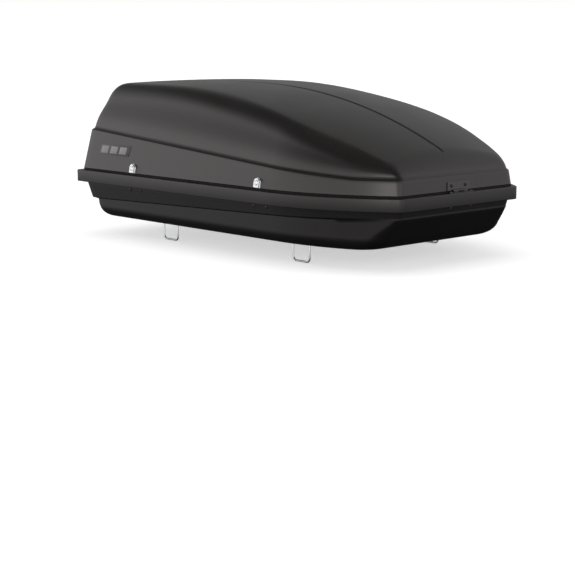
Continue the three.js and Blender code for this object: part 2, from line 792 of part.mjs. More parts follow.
// ---- Lid stay, inside the near wall ----
function makeStay() {
  const wallY = -boxWidth / 2 + shelfEdge;
  const stayY = -boxWidth / 2 + stayInset;
  const eyeHalf = stayDiameter / 2;
  const onPin = (geometry) => geometry.rotateX(90 * deg).translate(stayAt, 0, stayHeight);
  const rod = bar(stayDiameter / 2, 0, stayLength, 12)
    .rotateY(-90 * deg).translate(stayAt, stayY, stayHeight);
  const eye = onPin(bar(stayEye, -stayY - eyeHalf, -stayY + eyeHalf));
  const bore = onPin(bar(stayPin / 2 + gap, -stayY - 20, -stayY + 20, 16));
  add('stay_rod', cut(join(rod, [eye]), [bore]), zincSteel);

  const face = wallY + gap;
  const plate = block(stayAt - 24, stayAt + 24, face, face + 3, stayHeight - 16, stayHeight + 16);
  const boss = onPin(bar(stayEye, -(stayY - eyeHalf - gap), -(face + 1)));
  add('stay_bracket', cut(join(plate, [boss]), [bore]), blackSteel);

  const inner = stayY + eyeHalf + gap;
  const pin = turned([[0, inner + 2.5], [6, inner + 2.5], [6, inner], [stayPin / 2, inner],
    [stayPin / 2, face + 0.5], [0, face + 0.5]].map(([r, y]) => [r, -y]));
  add('stay_pin', onPin(pin), zincSteel);

  // The catch hangs in the lid where the rod's tip stands when the lid is open.
  const reach = pinX - stayAt;
  const tipX = pinX - (reach * Math.cos(stayAngle) + (stayHeight + stayLength - pinZ) * Math.sin(stayAngle));
  const tipZ = pinZ + (stayHeight + stayLength - pinZ) * Math.cos(stayAngle) - reach * Math.sin(stayAngle);
  const roof = Math.max(tipZ, lidFoot) + stayDiameter / 2 + 6;
  const catchFace = skirtInset(roof) + lidWall + 2 * gap;
  const catchEnd = stayInset + stayDiameter / 2 + 4;
  const edge = -boxWidth / 2;
  const shelf = block(tipX - 16, tipX + 14, edge + catchFace + 2, edge + catchEnd, roof, roof + 3);
  const lip = block(tipX - 16, tipX - 12, edge + stayInset - 6, edge + catchEnd, roof - 3, roof + 1);
  const back = alongX(slab(polygon([
    [edge + catchFace, roof], [edge + catchFace + 3, roof],
    [edge + catchFace + 3 + 26 * skirtLean, roof + 26], [edge + catchFace + 26 * skirtLean, roof + 26],
  ]), tipX - 16, tipX + 14));
  add('stay_catch', join(shelf, [lip, back]), blackSteel);
}

// ---- Seal, emblems, shells ----
function makeSeal() {
  const inset = lidInset - 0.5;
  const low = rimTop + gap;
  const high = rimTop + sealHeight;
  const rings = [
    level(inset, low), level(inset, high - 2), level(inset + 2, high),
    level(inset + sealWidth - 2, high), level(inset + sealWidth, high - 2), level(inset + sealWidth, low),
  ];
  add('rim_seal', skin(rings), rubber);
}

function makeEmblem(name, turn, along) {
  const frame = wallFrame(turn, along, boxWidth / 2 - lidInset, lidFoot, skirtAngle);
  const slanted = (x0, x1, z0, z1, lift0, lift1) => slab(polygon([
    [x0, lift0], [x1, lift0], [x1 + emblemSlant, lift1], [x0 + emblemSlant, lift1],
  ]), z0, z1);
  const half = emblemLength / 2;
  const low = emblemLift - emblemHeight / 2;
  const barPitch = (emblemLength - 16) / 3;
  const bars = [0, 1, 2].map((i) => slanted(-half + 10 + i * barPitch, -half + barPitch - 4 + i * barPitch,
    gap + 0.6, gap + 2, low + 5, low + emblemHeight - 5));
  add(name, join(slanted(-half, half, gap, gap + 1, low, low + emblemHeight), bars), badgeGrey, frame);
}

function makeShells() {
  const channel = roofStrip(channelTail, channelNose, channelDepth, 30, channelWidth);
  const rib = roofStrip(channelTail - 6, channelNose - 6, lidWall + channelDepth, 1, channelWidth + 8);
  const ribbed = join(lidSkin(), [rib]);
  const aboveRoof = roofStrip(channelTail - 10, channelNose, 0, 30, channelWidth + 10);
  const trimmed = solid(ribbed).subtract(solid(aboveRoof).subtract(solid(lidSkin())));
  add('lid_shell', cut(surface(trimmed), [channel, ...lidTools]), lidPlastic);
  add('base_tub', cut(tubSkin(), tubTools), tubPlastic);
}

makeHinge();
sides.forEach(({ name, turn, sign }) => {
  lockPlaces.forEach((place, i) => {
    makeLock(`${ends[i]}_${name}_lock`, turn, place * sign);
    makeStrike(`${ends[i]}_${name}_lock`, turn, place * sign);
  });
  makeEmblem(`${name}_emblem`, turn, emblemAt * sign);
});
makeClamps();
makeStay();
makeSeal();
makeShells();

export default object;
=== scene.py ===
"""Roof cargo box: the fine surfaces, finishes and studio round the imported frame.

Metres. +X points to the nose, +Z up, and the underside of the tub's floor is at height 0.
The shells repeat the formulas of the frame's own shells, with rounded edges and fine steps.
"""

import math

import bmesh
import bpy
from bpy.props import FloatProperty, FloatVectorProperty, IntProperty, PointerProperty
from bpy.types import Operator, Panel, PropertyGroup
from mathutils import Matrix, Vector


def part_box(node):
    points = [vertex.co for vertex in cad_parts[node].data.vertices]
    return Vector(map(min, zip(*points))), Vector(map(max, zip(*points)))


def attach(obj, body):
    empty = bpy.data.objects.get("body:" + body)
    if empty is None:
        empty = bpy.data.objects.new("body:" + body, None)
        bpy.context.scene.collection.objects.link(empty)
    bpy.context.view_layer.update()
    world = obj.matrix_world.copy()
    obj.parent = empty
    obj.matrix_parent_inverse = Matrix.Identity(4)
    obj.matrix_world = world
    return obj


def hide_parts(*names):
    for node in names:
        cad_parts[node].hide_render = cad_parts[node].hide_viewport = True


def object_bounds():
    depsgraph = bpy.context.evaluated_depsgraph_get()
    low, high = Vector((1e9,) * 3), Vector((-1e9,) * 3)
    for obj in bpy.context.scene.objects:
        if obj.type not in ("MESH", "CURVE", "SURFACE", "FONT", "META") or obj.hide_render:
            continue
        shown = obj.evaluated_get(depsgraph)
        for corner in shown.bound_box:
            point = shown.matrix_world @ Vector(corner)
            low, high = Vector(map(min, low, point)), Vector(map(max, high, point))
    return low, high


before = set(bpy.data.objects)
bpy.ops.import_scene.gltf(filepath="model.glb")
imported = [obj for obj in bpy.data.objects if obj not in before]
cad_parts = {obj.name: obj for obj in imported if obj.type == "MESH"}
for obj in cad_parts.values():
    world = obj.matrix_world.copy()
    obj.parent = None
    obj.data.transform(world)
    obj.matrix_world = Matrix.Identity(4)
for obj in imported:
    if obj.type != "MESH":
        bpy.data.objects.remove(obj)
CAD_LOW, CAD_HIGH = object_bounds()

bl_info = {
    "name": "Roof cargo box",
    "version": (1, 0, 0),
    "blender": (4, 5, 0),
    "location": "View3D > Sidebar > Cargo box",
    "description": "Makes the shells, locks, clamps, hinge and finishes of a roof cargo box",
    "category": "Object",
}

MM = 0.001
GAP = 0.3 * MM  # between parts that touch

# ---- Plan outline ----
TUB_LOW, TUB_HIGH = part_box("base_tub")
LENGTH = TUB_HIGH.x - TUB_LOW.x
WIDTH = TUB_HIGH.y - TUB_LOW.y
NOSE_WIDTH = 600 * MM
BOW_START = 310 * MM
NOSE_ROUND = 34 * MM
TAIL_ROUND = 12 * MM
BOW_REACH = LENGTH / 2 - BOW_START
BOW_DROP = (WIDTH - NOSE_WIDTH) / 2
BOW_RADIUS = (BOW_REACH ** 2 + BOW_DROP ** 2) / (2 * BOW_DROP)
BOW_CENTRE = WIDTH / 2 - BOW_RADIUS
PLAN_STEPS = {"nose": 12, "nose_corner": 12, "bow": 30, "side": 30, "tail_corner": 8, "tail": 14}

# ---- Tub ----
TUB_WALL = 4 * MM
RIM_TOP = TUB_HIGH.z
BAND_BOTTOM = RIM_TOP - 46 * MM
BAND_WALL = 5 * MM
TUB_INSET = 28 * MM
TUB_LEAN = 0.222
LEDGE_TAIL = 74 * MM
LEDGE_NOSE = 118 * MM
LEDGE_STEP = 14 * MM
LEDGE_DROP = 6 * MM
LEDGE_FADE = (350 * MM, 760 * MM)
KEEL_RADIUS = 48 * MM
LOWER_LEAN = 0.1
LOWER_ROUND = 90 * MM
BOW_RAKE = 66 * MM

# ---- Lid ----
LID_WALL = 4 * MM
LID_INSET = 19 * MM
LID_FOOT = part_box("lid_shell")[0].z
LID_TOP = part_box("lid_shell")[1].z
FLANGE_WIDTH = 12 * MM
SKIRT_LEAN = 0.165
STEP_TAIL = 350 * MM
STEP_NOSE = 243 * MM
STEP_END = 640 * MM
STEP_IN = 10 * MM
STEP_RISE = 12 * MM
WALL_LEAN = 0.318
NOSE_LEAN = 0.7
ROOF_START = -350 * MM
ROOF_DROP = 188 * MM
ROOF_POWER = 2.34
CROWN_TAIL = 6 * MM
CROWN_NOSE = 26 * MM
CROWN_AT = 350 * MM
HIP_RUN = 62 * MM
ROOF_CENTRE = -60 * MM
SPINE = 600 * MM
CHANNEL_TAIL = -420 * MM
CHANNEL_NOSE = 705 * MM
SKIRT_ANGLE = math.atan(SKIRT_LEAN)
TUB_ANGLE = -math.atan(TUB_LEAN)

SIDES = {"near": (0.0, -1), "far": (math.pi, 1)}
ENDS = ("rear", "front")

# ---- Clamps ----
LEG_PITCH = 84 * MM
ROD_BEND = 16 * MM
ROD_CHAMFER = 0.7 * MM
THREAD_LENGTH = 24 * MM
THREAD_ROOT = 0.92

# ---- Locks ----
LOCK_WIDTH = 30 * MM
LOCK_HEIGHT = 36 * MM
LOCK_DEPTH = 11.5 * MM
LOCK_AXIS = 19 * MM
LOCK_BORE = 8.8 * MM
BARREL_REACH = 14 * MM


# ---- Settings ----
def length_setting(name, description, default):
    return FloatProperty(name=name, description=description, default=default, min=0.0,
                         precision=4, unit="LENGTH")


def share_setting(name, description, default):
    return FloatProperty(name=name, description=description, default=default, min=0.0, max=1.0,
                         subtype="FACTOR")


def colour_setting(name, description, default):
    return FloatVectorProperty(name=name, description=description, default=default, size=3,
                               min=0.0, max=1.0, subtype="COLOR")


class CargoBoxSizes(PropertyGroup):
    """Sizes of the fine shapes that the frame leaves open."""

    edge_round: length_setting("Edge round", "Radius of the moulded edges", 1.6 * MM)
    step_face: length_setting("Side line", "Height of the slanted face along the side line", 6 * MM)
    wall_swell: length_setting("Wall swell", "How far the lid's wall bows out and pulls in", 4 * MM)
    channel_width: length_setting("Channel width", "Width of the channel along the roof", 22 * MM)
    channel_depth: length_setting("Channel depth", "Depth of the channel along the roof", 3 * MM)
    channel_edge: length_setting("Channel edge", "Run of the channel's slanted sides", 4 * MM)
    rod: length_setting("Clamp rod", "Diameter of the U-bolts", 7 * MM)
    thread_pitch: length_setting("Thread pitch", "Pitch of the U-bolts' threads", 1.25 * MM)
    round_steps: IntProperty(name="Round steps", description="Steps round a turned piece",
                             default=32, min=12, max=64)


class CargoBoxFinishes(PropertyGroup):
    """Colours and surface character of the materials."""

    lid: colour_setting("Lid", "Colour of the lid's plastic", (0.0105, 0.0100, 0.0100))
    tub: colour_setting("Tub", "Colour of the tub's plastic", (0.0080, 0.0078, 0.0080))
    rubber: colour_setting("Seal", "Colour of the rubber seal", (0.004, 0.004, 0.004))
    nylon: colour_setting("Knobs", "Colour of the nylon knobs", (0.018, 0.018, 0.020))
    silver: colour_setting("Locks", "Colour of the lock housings", (0.78, 0.79, 0.81))
    coated: colour_setting("Coated steel", "Colour of the black coating", (0.014, 0.014, 0.015))
    zinc: colour_setting("Zinc", "Colour of the zinc plating", (0.56, 0.58, 0.60))
    badge: colour_setting("Emblem", "Colour of the emblem's bars", (0.20, 0.20, 0.20))
    grain_size: length_setting("Grain", "Spacing of the plastic's grain", 0.9 * MM)
    wear: share_setting("Wear", "Amount of fine scuffs", 0.25)
    dust: share_setting("Dust", "Amount of dust on upward faces", 0.12)


# ---- Plan outline ----
def plan_places():
    """Section and share of each step round the outline, from the nose to the tail."""
    places = [(section, i / steps) for section, steps in PLAN_STEPS.items() for i in range(steps)]
    return places + [("tail", 1.0)]


PLACES = plan_places()


def plan_point(place, nose, side, nose_round=NOSE_ROUND, tail_round=TAIL_ROUND):
    """Point of the outline at a place, inset from the band's face at the nose and elsewhere."""
    section, share = place
    front = LENGTH / 2 - nose
    back = -LENGTH / 2 + side
    half = WIDTH / 2 - side
    arc = BOW_RADIUS - side
    corner_x = front - nose_round
    corner_y = BOW_CENTRE + math.sqrt((arc - nose_round) ** 2 - (corner_x - BOW_START) ** 2)
    turn = math.atan2(corner_y - BOW_CENTRE, corner_x - BOW_START)
    if section == "nose":
        return front, corner_y * share
    if section == "nose_corner":
        angle = turn * share
        return corner_x + nose_round * math.cos(angle), corner_y + nose_round * math.sin(angle)
    if section == "bow":
        angle = turn + (math.pi / 2 - turn) * share
        return BOW_START + arc * math.cos(angle), BOW_CENTRE + arc * math.sin(angle)
    if section == "side":
        return BOW_START + (back + tail_round - BOW_START) * share, half
    if section == "tail_corner":
        angle = math.pi / 2 * (1 + share)
        x = back + tail_round + tail_round * math.cos(angle)
        return x, half - tail_round + tail_round * math.sin(angle)
    return back, (half - tail_round) * (1 - share)


def row(rule):
    """Row of points round the outline, where the rule gives the insets and height at an x."""
    points = []
    for place in PLACES:
        x, y = plan_point(place, 0, 0)
        for _ in range(3):
            plan, z = rule(x)
            x, y = plan_point(place, **plan)
        points.append(Vector((x, y, z)))
    return points


def level_row(inset, z):
    return row(lambda x: ({"nose": inset, "side": inset}, z))


def smooth_share(value, low, high):
    share = min(1.0, max(0.0, (value - low) / (high - low)))
    return share * share * (3 - 2 * share)


def arc_points(centre, radius, start, end, steps):
    """Points of an arc in a section, as (inset, height) pairs; angles in degrees."""
    points = []
    for i in range(steps + 1):
        angle = math.radians(start + (end - start) * i / steps)
        points.append((centre[0] + radius * math.cos(angle), centre[1] + radius * math.sin(angle)))
    return points


# ---- Meshes ----
def half_shell(rows):
    """Half of a shell on the +Y side: a grid whose rows are moved onto the given points."""
    bm = bmesh.new()
    bmesh.ops.create_grid(bm, x_segments=len(PLACES) - 1, y_segments=len(rows) - 1, size=1)
    for vertex in bm.verts:
        i = round((vertex.co.y + 1) / 2 * (len(rows) - 1))
        j = round((vertex.co.x + 1) / 2 * (len(PLACES) - 1))
        vertex.co = rows[i][j]
    return bm


def whole_shell(bm):
    """Mirrors a half shell across the centre plane and closes it."""
    bmesh.ops.remove_doubles(bm, verts=bm.verts, dist=1e-5)
    everything = bm.verts[:] + bm.edges[:] + bm.faces[:]
    bmesh.ops.mirror(bm, geom=everything, matrix=Matrix.Identity(4), merge_dist=1e-5, axis="Y")
    bmesh.ops.remove_doubles(bm, verts=bm.verts, dist=1e-5)
    bmesh.ops.dissolve_degenerate(bm, dist=1e-6, edges=bm.edges)
    bmesh.ops.recalc_face_normals(bm, faces=bm.faces)


def turned(bm, profile, place=Matrix.Identity(4), steps=None, material=0):
    """Adds a piece turned about Z from (radius, height) points, first and last on the axis."""
    steps = steps or bpy.context.scene.cargo_box_sizes.round_steps
    verts = [bm.verts.new((radius, 0, z)) for radius, z in profile]
    edges = [bm.edges.new(pair) for pair in zip(verts, verts[1:])]
    before = set(bm.verts) - set(verts)
    bmesh.ops.spin(bm, geom=verts + edges, cent=(0, 0, 0), axis=(0, 0, 1), dvec=(0, 0, 0),
                   angle=math.tau, steps=steps, use_merge=True, use_normal_flip=False,
                   use_duplicate=False)
    made = [v for v in bm.verts if v not in before]
    bmesh.ops.remove_doubles(bm, verts=made, dist=1e-7)
    made = [v for v in bm.verts if v not in before]
    bmesh.ops.transform(bm, matrix=place, verts=made)
    faces = list({face for v in made for face in v.link_faces})
    for face in faces:
        face.material_index = material
    bmesh.ops.recalc_face_normals(bm, faces=faces)
    return made


def raised(bm, outline, low, high, place=Matrix.Identity(4), rounding=0.0, material=0):
    """Adds a flat outline raised from one height to another, with its top edges rounded."""
    verts = [bm.verts.new((x, y, low)) for x, y in outline]
    foot = bm.faces.new(verts)
    top = bmesh.ops.extrude_face_region(bm, geom=[foot], use_keep_orig=True)["geom"]
    top_verts = [item for item in top if isinstance(item, bmesh.types.BMVert)]
    bmesh.ops.translate(bm, vec=(0, 0, high - low), verts=top_verts)
    faces = list({face for v in verts + top_verts for face in v.link_faces})
    bmesh.ops.recalc_face_normals(bm, faces=faces)
    if rounding:
        edges = [e for e in bm.edges if e.verts[0] in top_verts and e.verts[1] in top_verts]
        result = bmesh.ops.bevel(bm, geom=edges, offset=rounding, segments=3, profile=0.5,
                                 affect="EDGES", material=-1)
        faces = [f for f in set(faces) | set(result["faces"]) if f.is_valid]
    made = list({v for f in faces for v in f.verts})
    for face in {face for v in made for face in v.link_faces}:
        face.material_index = material
    bmesh.ops.transform(bm, matrix=place, verts=made)
    return made


def piece(name, bm, body, slot, nodes=(), materials=None, sharp=38):
    """Makes a finished piece that rides on a body and stands for CAD nodes."""
    mesh = bpy.data.meshes.new(name)
    bm.to_mesh(mesh)
    bm.free()
    mesh.shade_smooth()
    mesh.set_sharp_from_angle(angle=math.radians(sharp))
    for finish in materials or [slot]:
        mesh.materials.append(material(finish))
    obj = bpy.data.objects.new(name, mesh)
    bpy.context.scene.collection.objects.link(obj)
    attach(obj, body)
    if nodes:
        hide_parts(*nodes)
    return obj


def coat(node, slot):
    """Gives a CAD node its finish."""
    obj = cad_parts[node]
    obj.data.materials.clear()
    obj.data.materials.append(material(slot))


def wall_place(turn, along, distance, height, lean):
    """A place on a leaning wall: x along it, y up it, z straight out. The turn is about Z."""
    return (Matrix.Rotation(turn, 4, "Z") @ Matrix.Translation((along, -distance, height))
            @ Matrix.Rotation(math.pi / 2 - lean, 4, "X"))


def carve(bm, cutter):
    """Cuts one closed mesh out of another and returns what is left."""
    parts = []
    for shape in (bm, cutter):
        mesh = bpy.data.meshes.new("carving")
        shape.to_mesh(mesh)
        shape.free()
        part = bpy.data.objects.new("carving", mesh)
        bpy.context.scene.collection.objects.link(part)
        parts.append(part)
    modifier = parts[0].modifiers.new("cut", "BOOLEAN")
    modifier.operation = "DIFFERENCE"
    modifier.solver = "EXACT"
    modifier.use_self = True
    modifier.object = parts[1]
    bpy.context.view_layer.update()
    result = bmesh.new()
    result.from_object(parts[0], bpy.context.evaluated_depsgraph_get())
    for part in parts:
        mesh = part.data
        bpy.data.objects.remove(part)
        bpy.data.meshes.remove(mesh)
    return result


# ---- Shared effects ----
def effect(name, inputs, outputs):
    """A shader node group with float inputs (name: default) and named float outputs."""
    tree = bpy.data.node_groups.new(name, "ShaderNodeTree")
    for label, default in inputs.items():
        socket = tree.interface.new_socket(label, in_out="INPUT", socket_type="NodeSocketFloat")
        socket.default_value = default
    for label in outputs:
        tree.interface.new_socket(label, in_out="OUTPUT", socket_type="NodeSocketFloat")
    return tree, tree.nodes.new("NodeGroupInput"), tree.nodes.new("NodeGroupOutput")


def add_node(tree, kind, settings=None, inputs=None):
    """Adds a node; an input's value is a number, a colour or the socket that feeds it."""
    made = tree.nodes.new("ShaderNode" + kind)
    for key, value in (settings or {}).items():
        setattr(made, key, value)
    for key, value in (inputs or {}).items():
        if isinstance(value, bpy.types.NodeSocket):
            tree.links.new(value, made.inputs[key])
        else:
            made.inputs[key].default_value = value
    return made


def maths(tree, operation, first, second=0.0, clamp=False):
    made = add_node(tree, "Math", {"operation": operation, "use_clamp": clamp},
                    {0: first, 1: second})
    return made.outputs[0]


def object_point(tree):
    return add_node(tree, "TexCoord").outputs["Object"]


def grain_effect():
    """Moulded grain: rounded pebbles broken up by fine noise."""
    tree, given, gives = effect("moulded_grain", {"Size": 0.9 * MM, "Noise": 0.4}, ["Height"])
    point = object_point(tree)
    per_metre = maths(tree, "DIVIDE", 1.0, given.outputs["Size"])
    cells = add_node(tree, "TexVoronoi", {"feature": "SMOOTH_F1"},
                     {"Vector": point, "Scale": per_metre, "Smoothness": 0.6})
    fine = add_node(tree, "TexNoise", None, {"Vector": point, "Detail": 3.0,
                    "Scale": maths(tree, "MULTIPLY", per_metre, 2.3)})
    share = maths(tree, "MULTIPLY", fine.outputs["Fac"], given.outputs["Noise"])
    height = maths(tree, "ADD", cells.outputs["Distance"], share)
    tree.links.new(height, gives.inputs["Height"])
    return tree


def wear_effect():
    """Scuffs: long faint strokes that show in patches."""
    tree, given, gives = effect("scuffs", {"Amount": 0.25, "Length": 0.12}, ["Mask"])
    point = object_point(tree)
    stretch = add_node(tree, "Mapping", None, {"Vector": point, "Scale": (1.0, 6.0, 14.0)})
    per_metre = maths(tree, "DIVIDE", 1.0, given.outputs["Length"])
    strokes = add_node(tree, "TexNoise", None, {"Vector": stretch.outputs["Vector"],
                       "Scale": maths(tree, "MULTIPLY", per_metre, 3.0), "Detail": 6.0})
    patches = add_node(tree, "TexNoise", None,
                       {"Vector": point, "Scale": per_metre, "Detail": 2.0})
    ridge = add_node(tree, "MapRange", None, {"Value": strokes.outputs["Fac"],
                     "From Min": 0.6, "From Max": 0.74})
    patch = add_node(tree, "MapRange", None, {"Value": patches.outputs["Fac"],
                     "From Min": 0.45, "From Max": 0.7})
    both = maths(tree, "MULTIPLY", ridge.outputs[0], patch.outputs[0])
    mask = maths(tree, "MULTIPLY", both, given.outputs["Amount"], clamp=True)
    tree.links.new(mask, gives.inputs["Mask"])
    return tree


def dust_effect():
    """Dust that settles on faces that look up, thicker in soft clouds."""
    tree, given, gives = effect("settled_dust", {"Amount": 0.1, "Cloud": 0.25}, ["Mask"])
    normal = add_node(tree, "TexCoord").outputs["Normal"]
    up = add_node(tree, "SeparateXYZ", None, {0: normal}).outputs["Z"]
    facing = add_node(tree, "MapRange", None, {"Value": up, "From Min": 0.35, "From Max": 1.0})
    per_metre = maths(tree, "DIVIDE", 1.0, given.outputs["Cloud"])
    clouds = add_node(tree, "TexNoise", None, {"Vector": object_point(tree),
                      "Scale": per_metre, "Detail": 8.0, "Roughness": 0.65})
    amount = maths(tree, "MULTIPLY", facing.outputs[0], given.outputs["Amount"])
    mask = maths(tree, "MULTIPLY", amount, clouds.outputs["Fac"], clamp=True)
    tree.links.new(mask, gives.inputs["Mask"])
    return tree


def cells_effect():
    """Plating crystals: cells of slightly different brightness."""
    tree, given, gives = effect("plating_cells", {"Size": 3 * MM}, ["Shade"])
    per_metre = maths(tree, "DIVIDE", 1.0, given.outputs["Size"])
    cells = add_node(tree, "TexVoronoi", None, {"Vector": object_point(tree), "Scale": per_metre})
    shade = add_node(tree, "SeparateXYZ", None, {0: cells.outputs["Color"]}).outputs["X"]
    tree.links.new(shade, gives.inputs["Shade"])
    return tree


EFFECTS = {"moulded_grain": grain_effect, "scuffs": wear_effect,
           "settled_dust": dust_effect, "plating_cells": cells_effect}


def use_effect(tree, name, inputs):
    made = tree.nodes.new("ShaderNodeGroup")
    made.node_tree = bpy.data.node_groups.get(name) or EFFECTS[name]()
    for key, value in inputs.items():
        made.inputs[key].default_value = value
    return made.outputs[0]


# ---- Materials ----
def mixed(tree, first, second, share):
    """Colour between two colours; each is a colour or a socket."""
    made = add_node(tree, "Mix", {"data_type": "RGBA"})
    for key, value in (("A_Color", first), ("B_Color", second)):
        socket = next(s for s in made.inputs if s.identifier == key)
        if isinstance(value, bpy.types.NodeSocket):
            tree.links.new(value, socket)
        else:
            socket.default_value = (*value, 1.0)
    tree.links.new(share, next(s for s in made.inputs if s.identifier == "Factor_Float"))
    return next(s for s in made.outputs if s.identifier == "Result_Color")


def lighter(colour, factor):
    return tuple(min(1.0, channel * factor) for channel in colour)


FINISH = "_finish"


def blank_material(name):
    made = bpy.data.materials.new(name + FINISH)
    made.use_nodes = True
    tree = made.node_tree
    return made, tree, tree.nodes["Principled BSDF"]


DUST_COLOUR = (0.16, 0.15, 0.14)
WARM_GLOSS = (1.0, 0.93, 0.92)
GLOSS_SPREAD = 0.035
DUST_ROUGHENS = 1.2


def moulded(name, colour, rough, grain, depth, specular=0.5, noise=0.4):
    """A moulded plastic: grain, faint scuffs, a slow change of gloss and a little dust."""
    finishes = bpy.context.scene.cargo_box_finishes
    made, tree, shader = blank_material(name)
    scuffs = use_effect(tree, "scuffs", {"Amount": finishes.wear, "Length": 0.12})
    dust = use_effect(tree, "settled_dust", {"Amount": finishes.dust, "Cloud": 0.3})
    worn = mixed(tree, colour, lighter(colour, 1.9), scuffs)
    dusted = mixed(tree, worn, DUST_COLOUR, dust)
    tree.links.new(dusted, shader.inputs["Base Color"])
    slow = add_node(tree, "TexNoise", None, {"Vector": object_point(tree), "Scale": 5.0,
                    "Detail": 3.0})
    gloss = add_node(tree, "MapRange", None, {"Value": slow.outputs["Fac"],
                     "To Min": rough - GLOSS_SPREAD, "To Max": rough + GLOSS_SPREAD})
    roughened = maths(tree, "MULTIPLY", dust, DUST_ROUGHENS)
    roughness = maths(tree, "ADD", gloss.outputs[0], roughened, clamp=True)
    tree.links.new(roughness, shader.inputs["Roughness"])
    height = use_effect(tree, "moulded_grain", {"Size": grain, "Noise": noise})
    bump = add_node(tree, "Bump", None, {"Strength": 0.5, "Distance": depth, "Height": height})
    tree.links.new(bump.outputs[0], shader.inputs["Normal"])
    shader.inputs["Specular IOR Level"].default_value = specular
    shader.inputs["Specular Tint"].default_value = (*WARM_GLOSS, 1)
    return made


def metal(name, colour, rough, cell, spread, grain, depth, coat_weight=0.0):
    """A plated or cast metal: crystals of different shade, scuffs and a fine bump."""
    finishes = bpy.context.scene.cargo_box_finishes
    made, tree, shader = blank_material(name)
    cells = use_effect(tree, "plating_cells", {"Size": cell})
    scuffs = use_effect(tree, "scuffs", {"Amount": finishes.wear, "Length": 0.03})
    toned = mixed(tree, lighter(colour, 1 - spread), lighter(colour, 1 + spread), cells)
    worn = mixed(tree, toned, lighter(colour, 0.7), scuffs)
    tree.links.new(worn, shader.inputs["Base Color"])
    gloss = add_node(tree, "MapRange", None, {"Value": cells, "To Min": rough - 0.05,
                     "To Max": rough + 0.05})
    tree.links.new(gloss.outputs[0], shader.inputs["Roughness"])
    height = use_effect(tree, "moulded_grain", {"Size": grain, "Noise": 0.8})
    bump = add_node(tree, "Bump", None, {"Strength": 0.35, "Distance": depth, "Height": height})
    tree.links.new(bump.outputs[0], shader.inputs["Normal"])
    shader.inputs["Metallic"].default_value = 1.0
    shader.inputs["Coat Weight"].default_value = coat_weight
    return made


def lid_plastic(finishes):
    return moulded("lid_plastic", finishes.lid, 0.30, finishes.grain_size, 0.012 * MM)


def tub_plastic(finishes):
    return moulded("tub_plastic", finishes.tub, 0.34, finishes.grain_size, 0.014 * MM)


def seal_rubber(finishes):
    return moulded("seal_rubber", finishes.rubber, 0.72, 0.4 * MM, 0.01 * MM, specular=0.25)


def knob_plastic(finishes):
    return moulded("knob_plastic", finishes.nylon, 0.50, 0.6 * MM, 0.03 * MM, noise=0.9)


def coated_steel(finishes):
    return moulded("black_steel", finishes.coated, 0.36, 1.1 * MM, 0.012 * MM, specular=0.6)


def lock_silver(finishes):
    return metal("lock_silver", finishes.silver, 0.42, 0.8 * MM, 0.04, 0.5 * MM, 0.003 * MM)


def zinc_steel(finishes):
    return metal("zinc_steel", finishes.zinc, 0.32, 2.5 * MM, 0.12, 0.7 * MM, 0.006 * MM)


def emblem_grey(finishes):
    return moulded("emblem_grey", finishes.badge, 0.36, 0.7 * MM, 0.004 * MM)


# Near-black insert for the key slot: painted shade inside the keyway, with a faint random tone.
def keyway_painted_shade(finishes):
    made, tree, shader = blank_material("keyway_painted_shade")
    slow = add_node(tree, "TexNoise", None, {"Vector": object_point(tree), "Scale": 900.0})
    tree.links.new(mixed(tree, (0.004,) * 3, (0.012,) * 3, slow.outputs["Fac"]),
                   shader.inputs["Base Color"])
    shader.inputs["Roughness"].default_value = 0.7
    return made


FINISHES = {"lid_plastic": lid_plastic, "tub_plastic": tub_plastic, "seal_rubber": seal_rubber,
            "knob_plastic": knob_plastic, "black_steel": coated_steel,
            "lock_silver": lock_silver, "zinc_steel": zinc_steel, "emblem_grey": emblem_grey,
            "keyway_painted_shade": keyway_painted_shade}


def material(name):
    return (bpy.data.materials.get(name + FINISH)
            or FINISHES[name](bpy.context.scene.cargo_box_finishes))


# ---- Lid surface ----
def step_height(x):
    return STEP_NOSE + (STEP_TAIL - STEP_NOSE) * max(0.0, STEP_END - x) / (STEP_END + LENGTH / 2)


def roof_height(x, y):
    ahead = max(0.0, x - ROOF_START)
    share = smooth_share(x, ROOF_START - 0.1, ROOF_START + 0.5)
    crown = CROWN_TAIL + (CROWN_NOSE - CROWN_TAIL) * share
    return LID_TOP - ROOF_DROP * ahead ** ROOF_POWER - crown * (y / CROWN_AT) ** 2


def skirt_inset(z):
    return LID_INSET + (z - LID_FOOT) * SKIRT_LEAN


def wall_point(place, rise, wall, swell=0.0):
    """Point of the wall at a rise above the side line, for the skin that lies wall further in."""
    x, y = plan_point(place, 0, 0)
    for _ in range(3):
        base = skirt_inset(step_height(x)) + STEP_IN + wall - swell
        z = step_height(x) + STEP_RISE + rise
        x, y = plan_point(place, base + rise * NOSE_LEAN, base + rise * WALL_LEAN,
                          NOSE_ROUND + rise * 0.3, TAIL_ROUND + rise * 0.1)
    return Vector((x, y, z))


def wall_rise(place, wall):
    """Rise at which the wall meets the roof."""
    low, high = 0.0, LID_TOP
    for _ in range(30):
        middle = (low + high) / 2
        point = wall_point(place, middle, wall)
        if point.z < roof_height(point.x, point.y) - wall:
            low = middle
        else:
            high = middle
    return low


WALL_STEPS = 14
HIP_STEPS = 12
ROOF_STEPS = 12


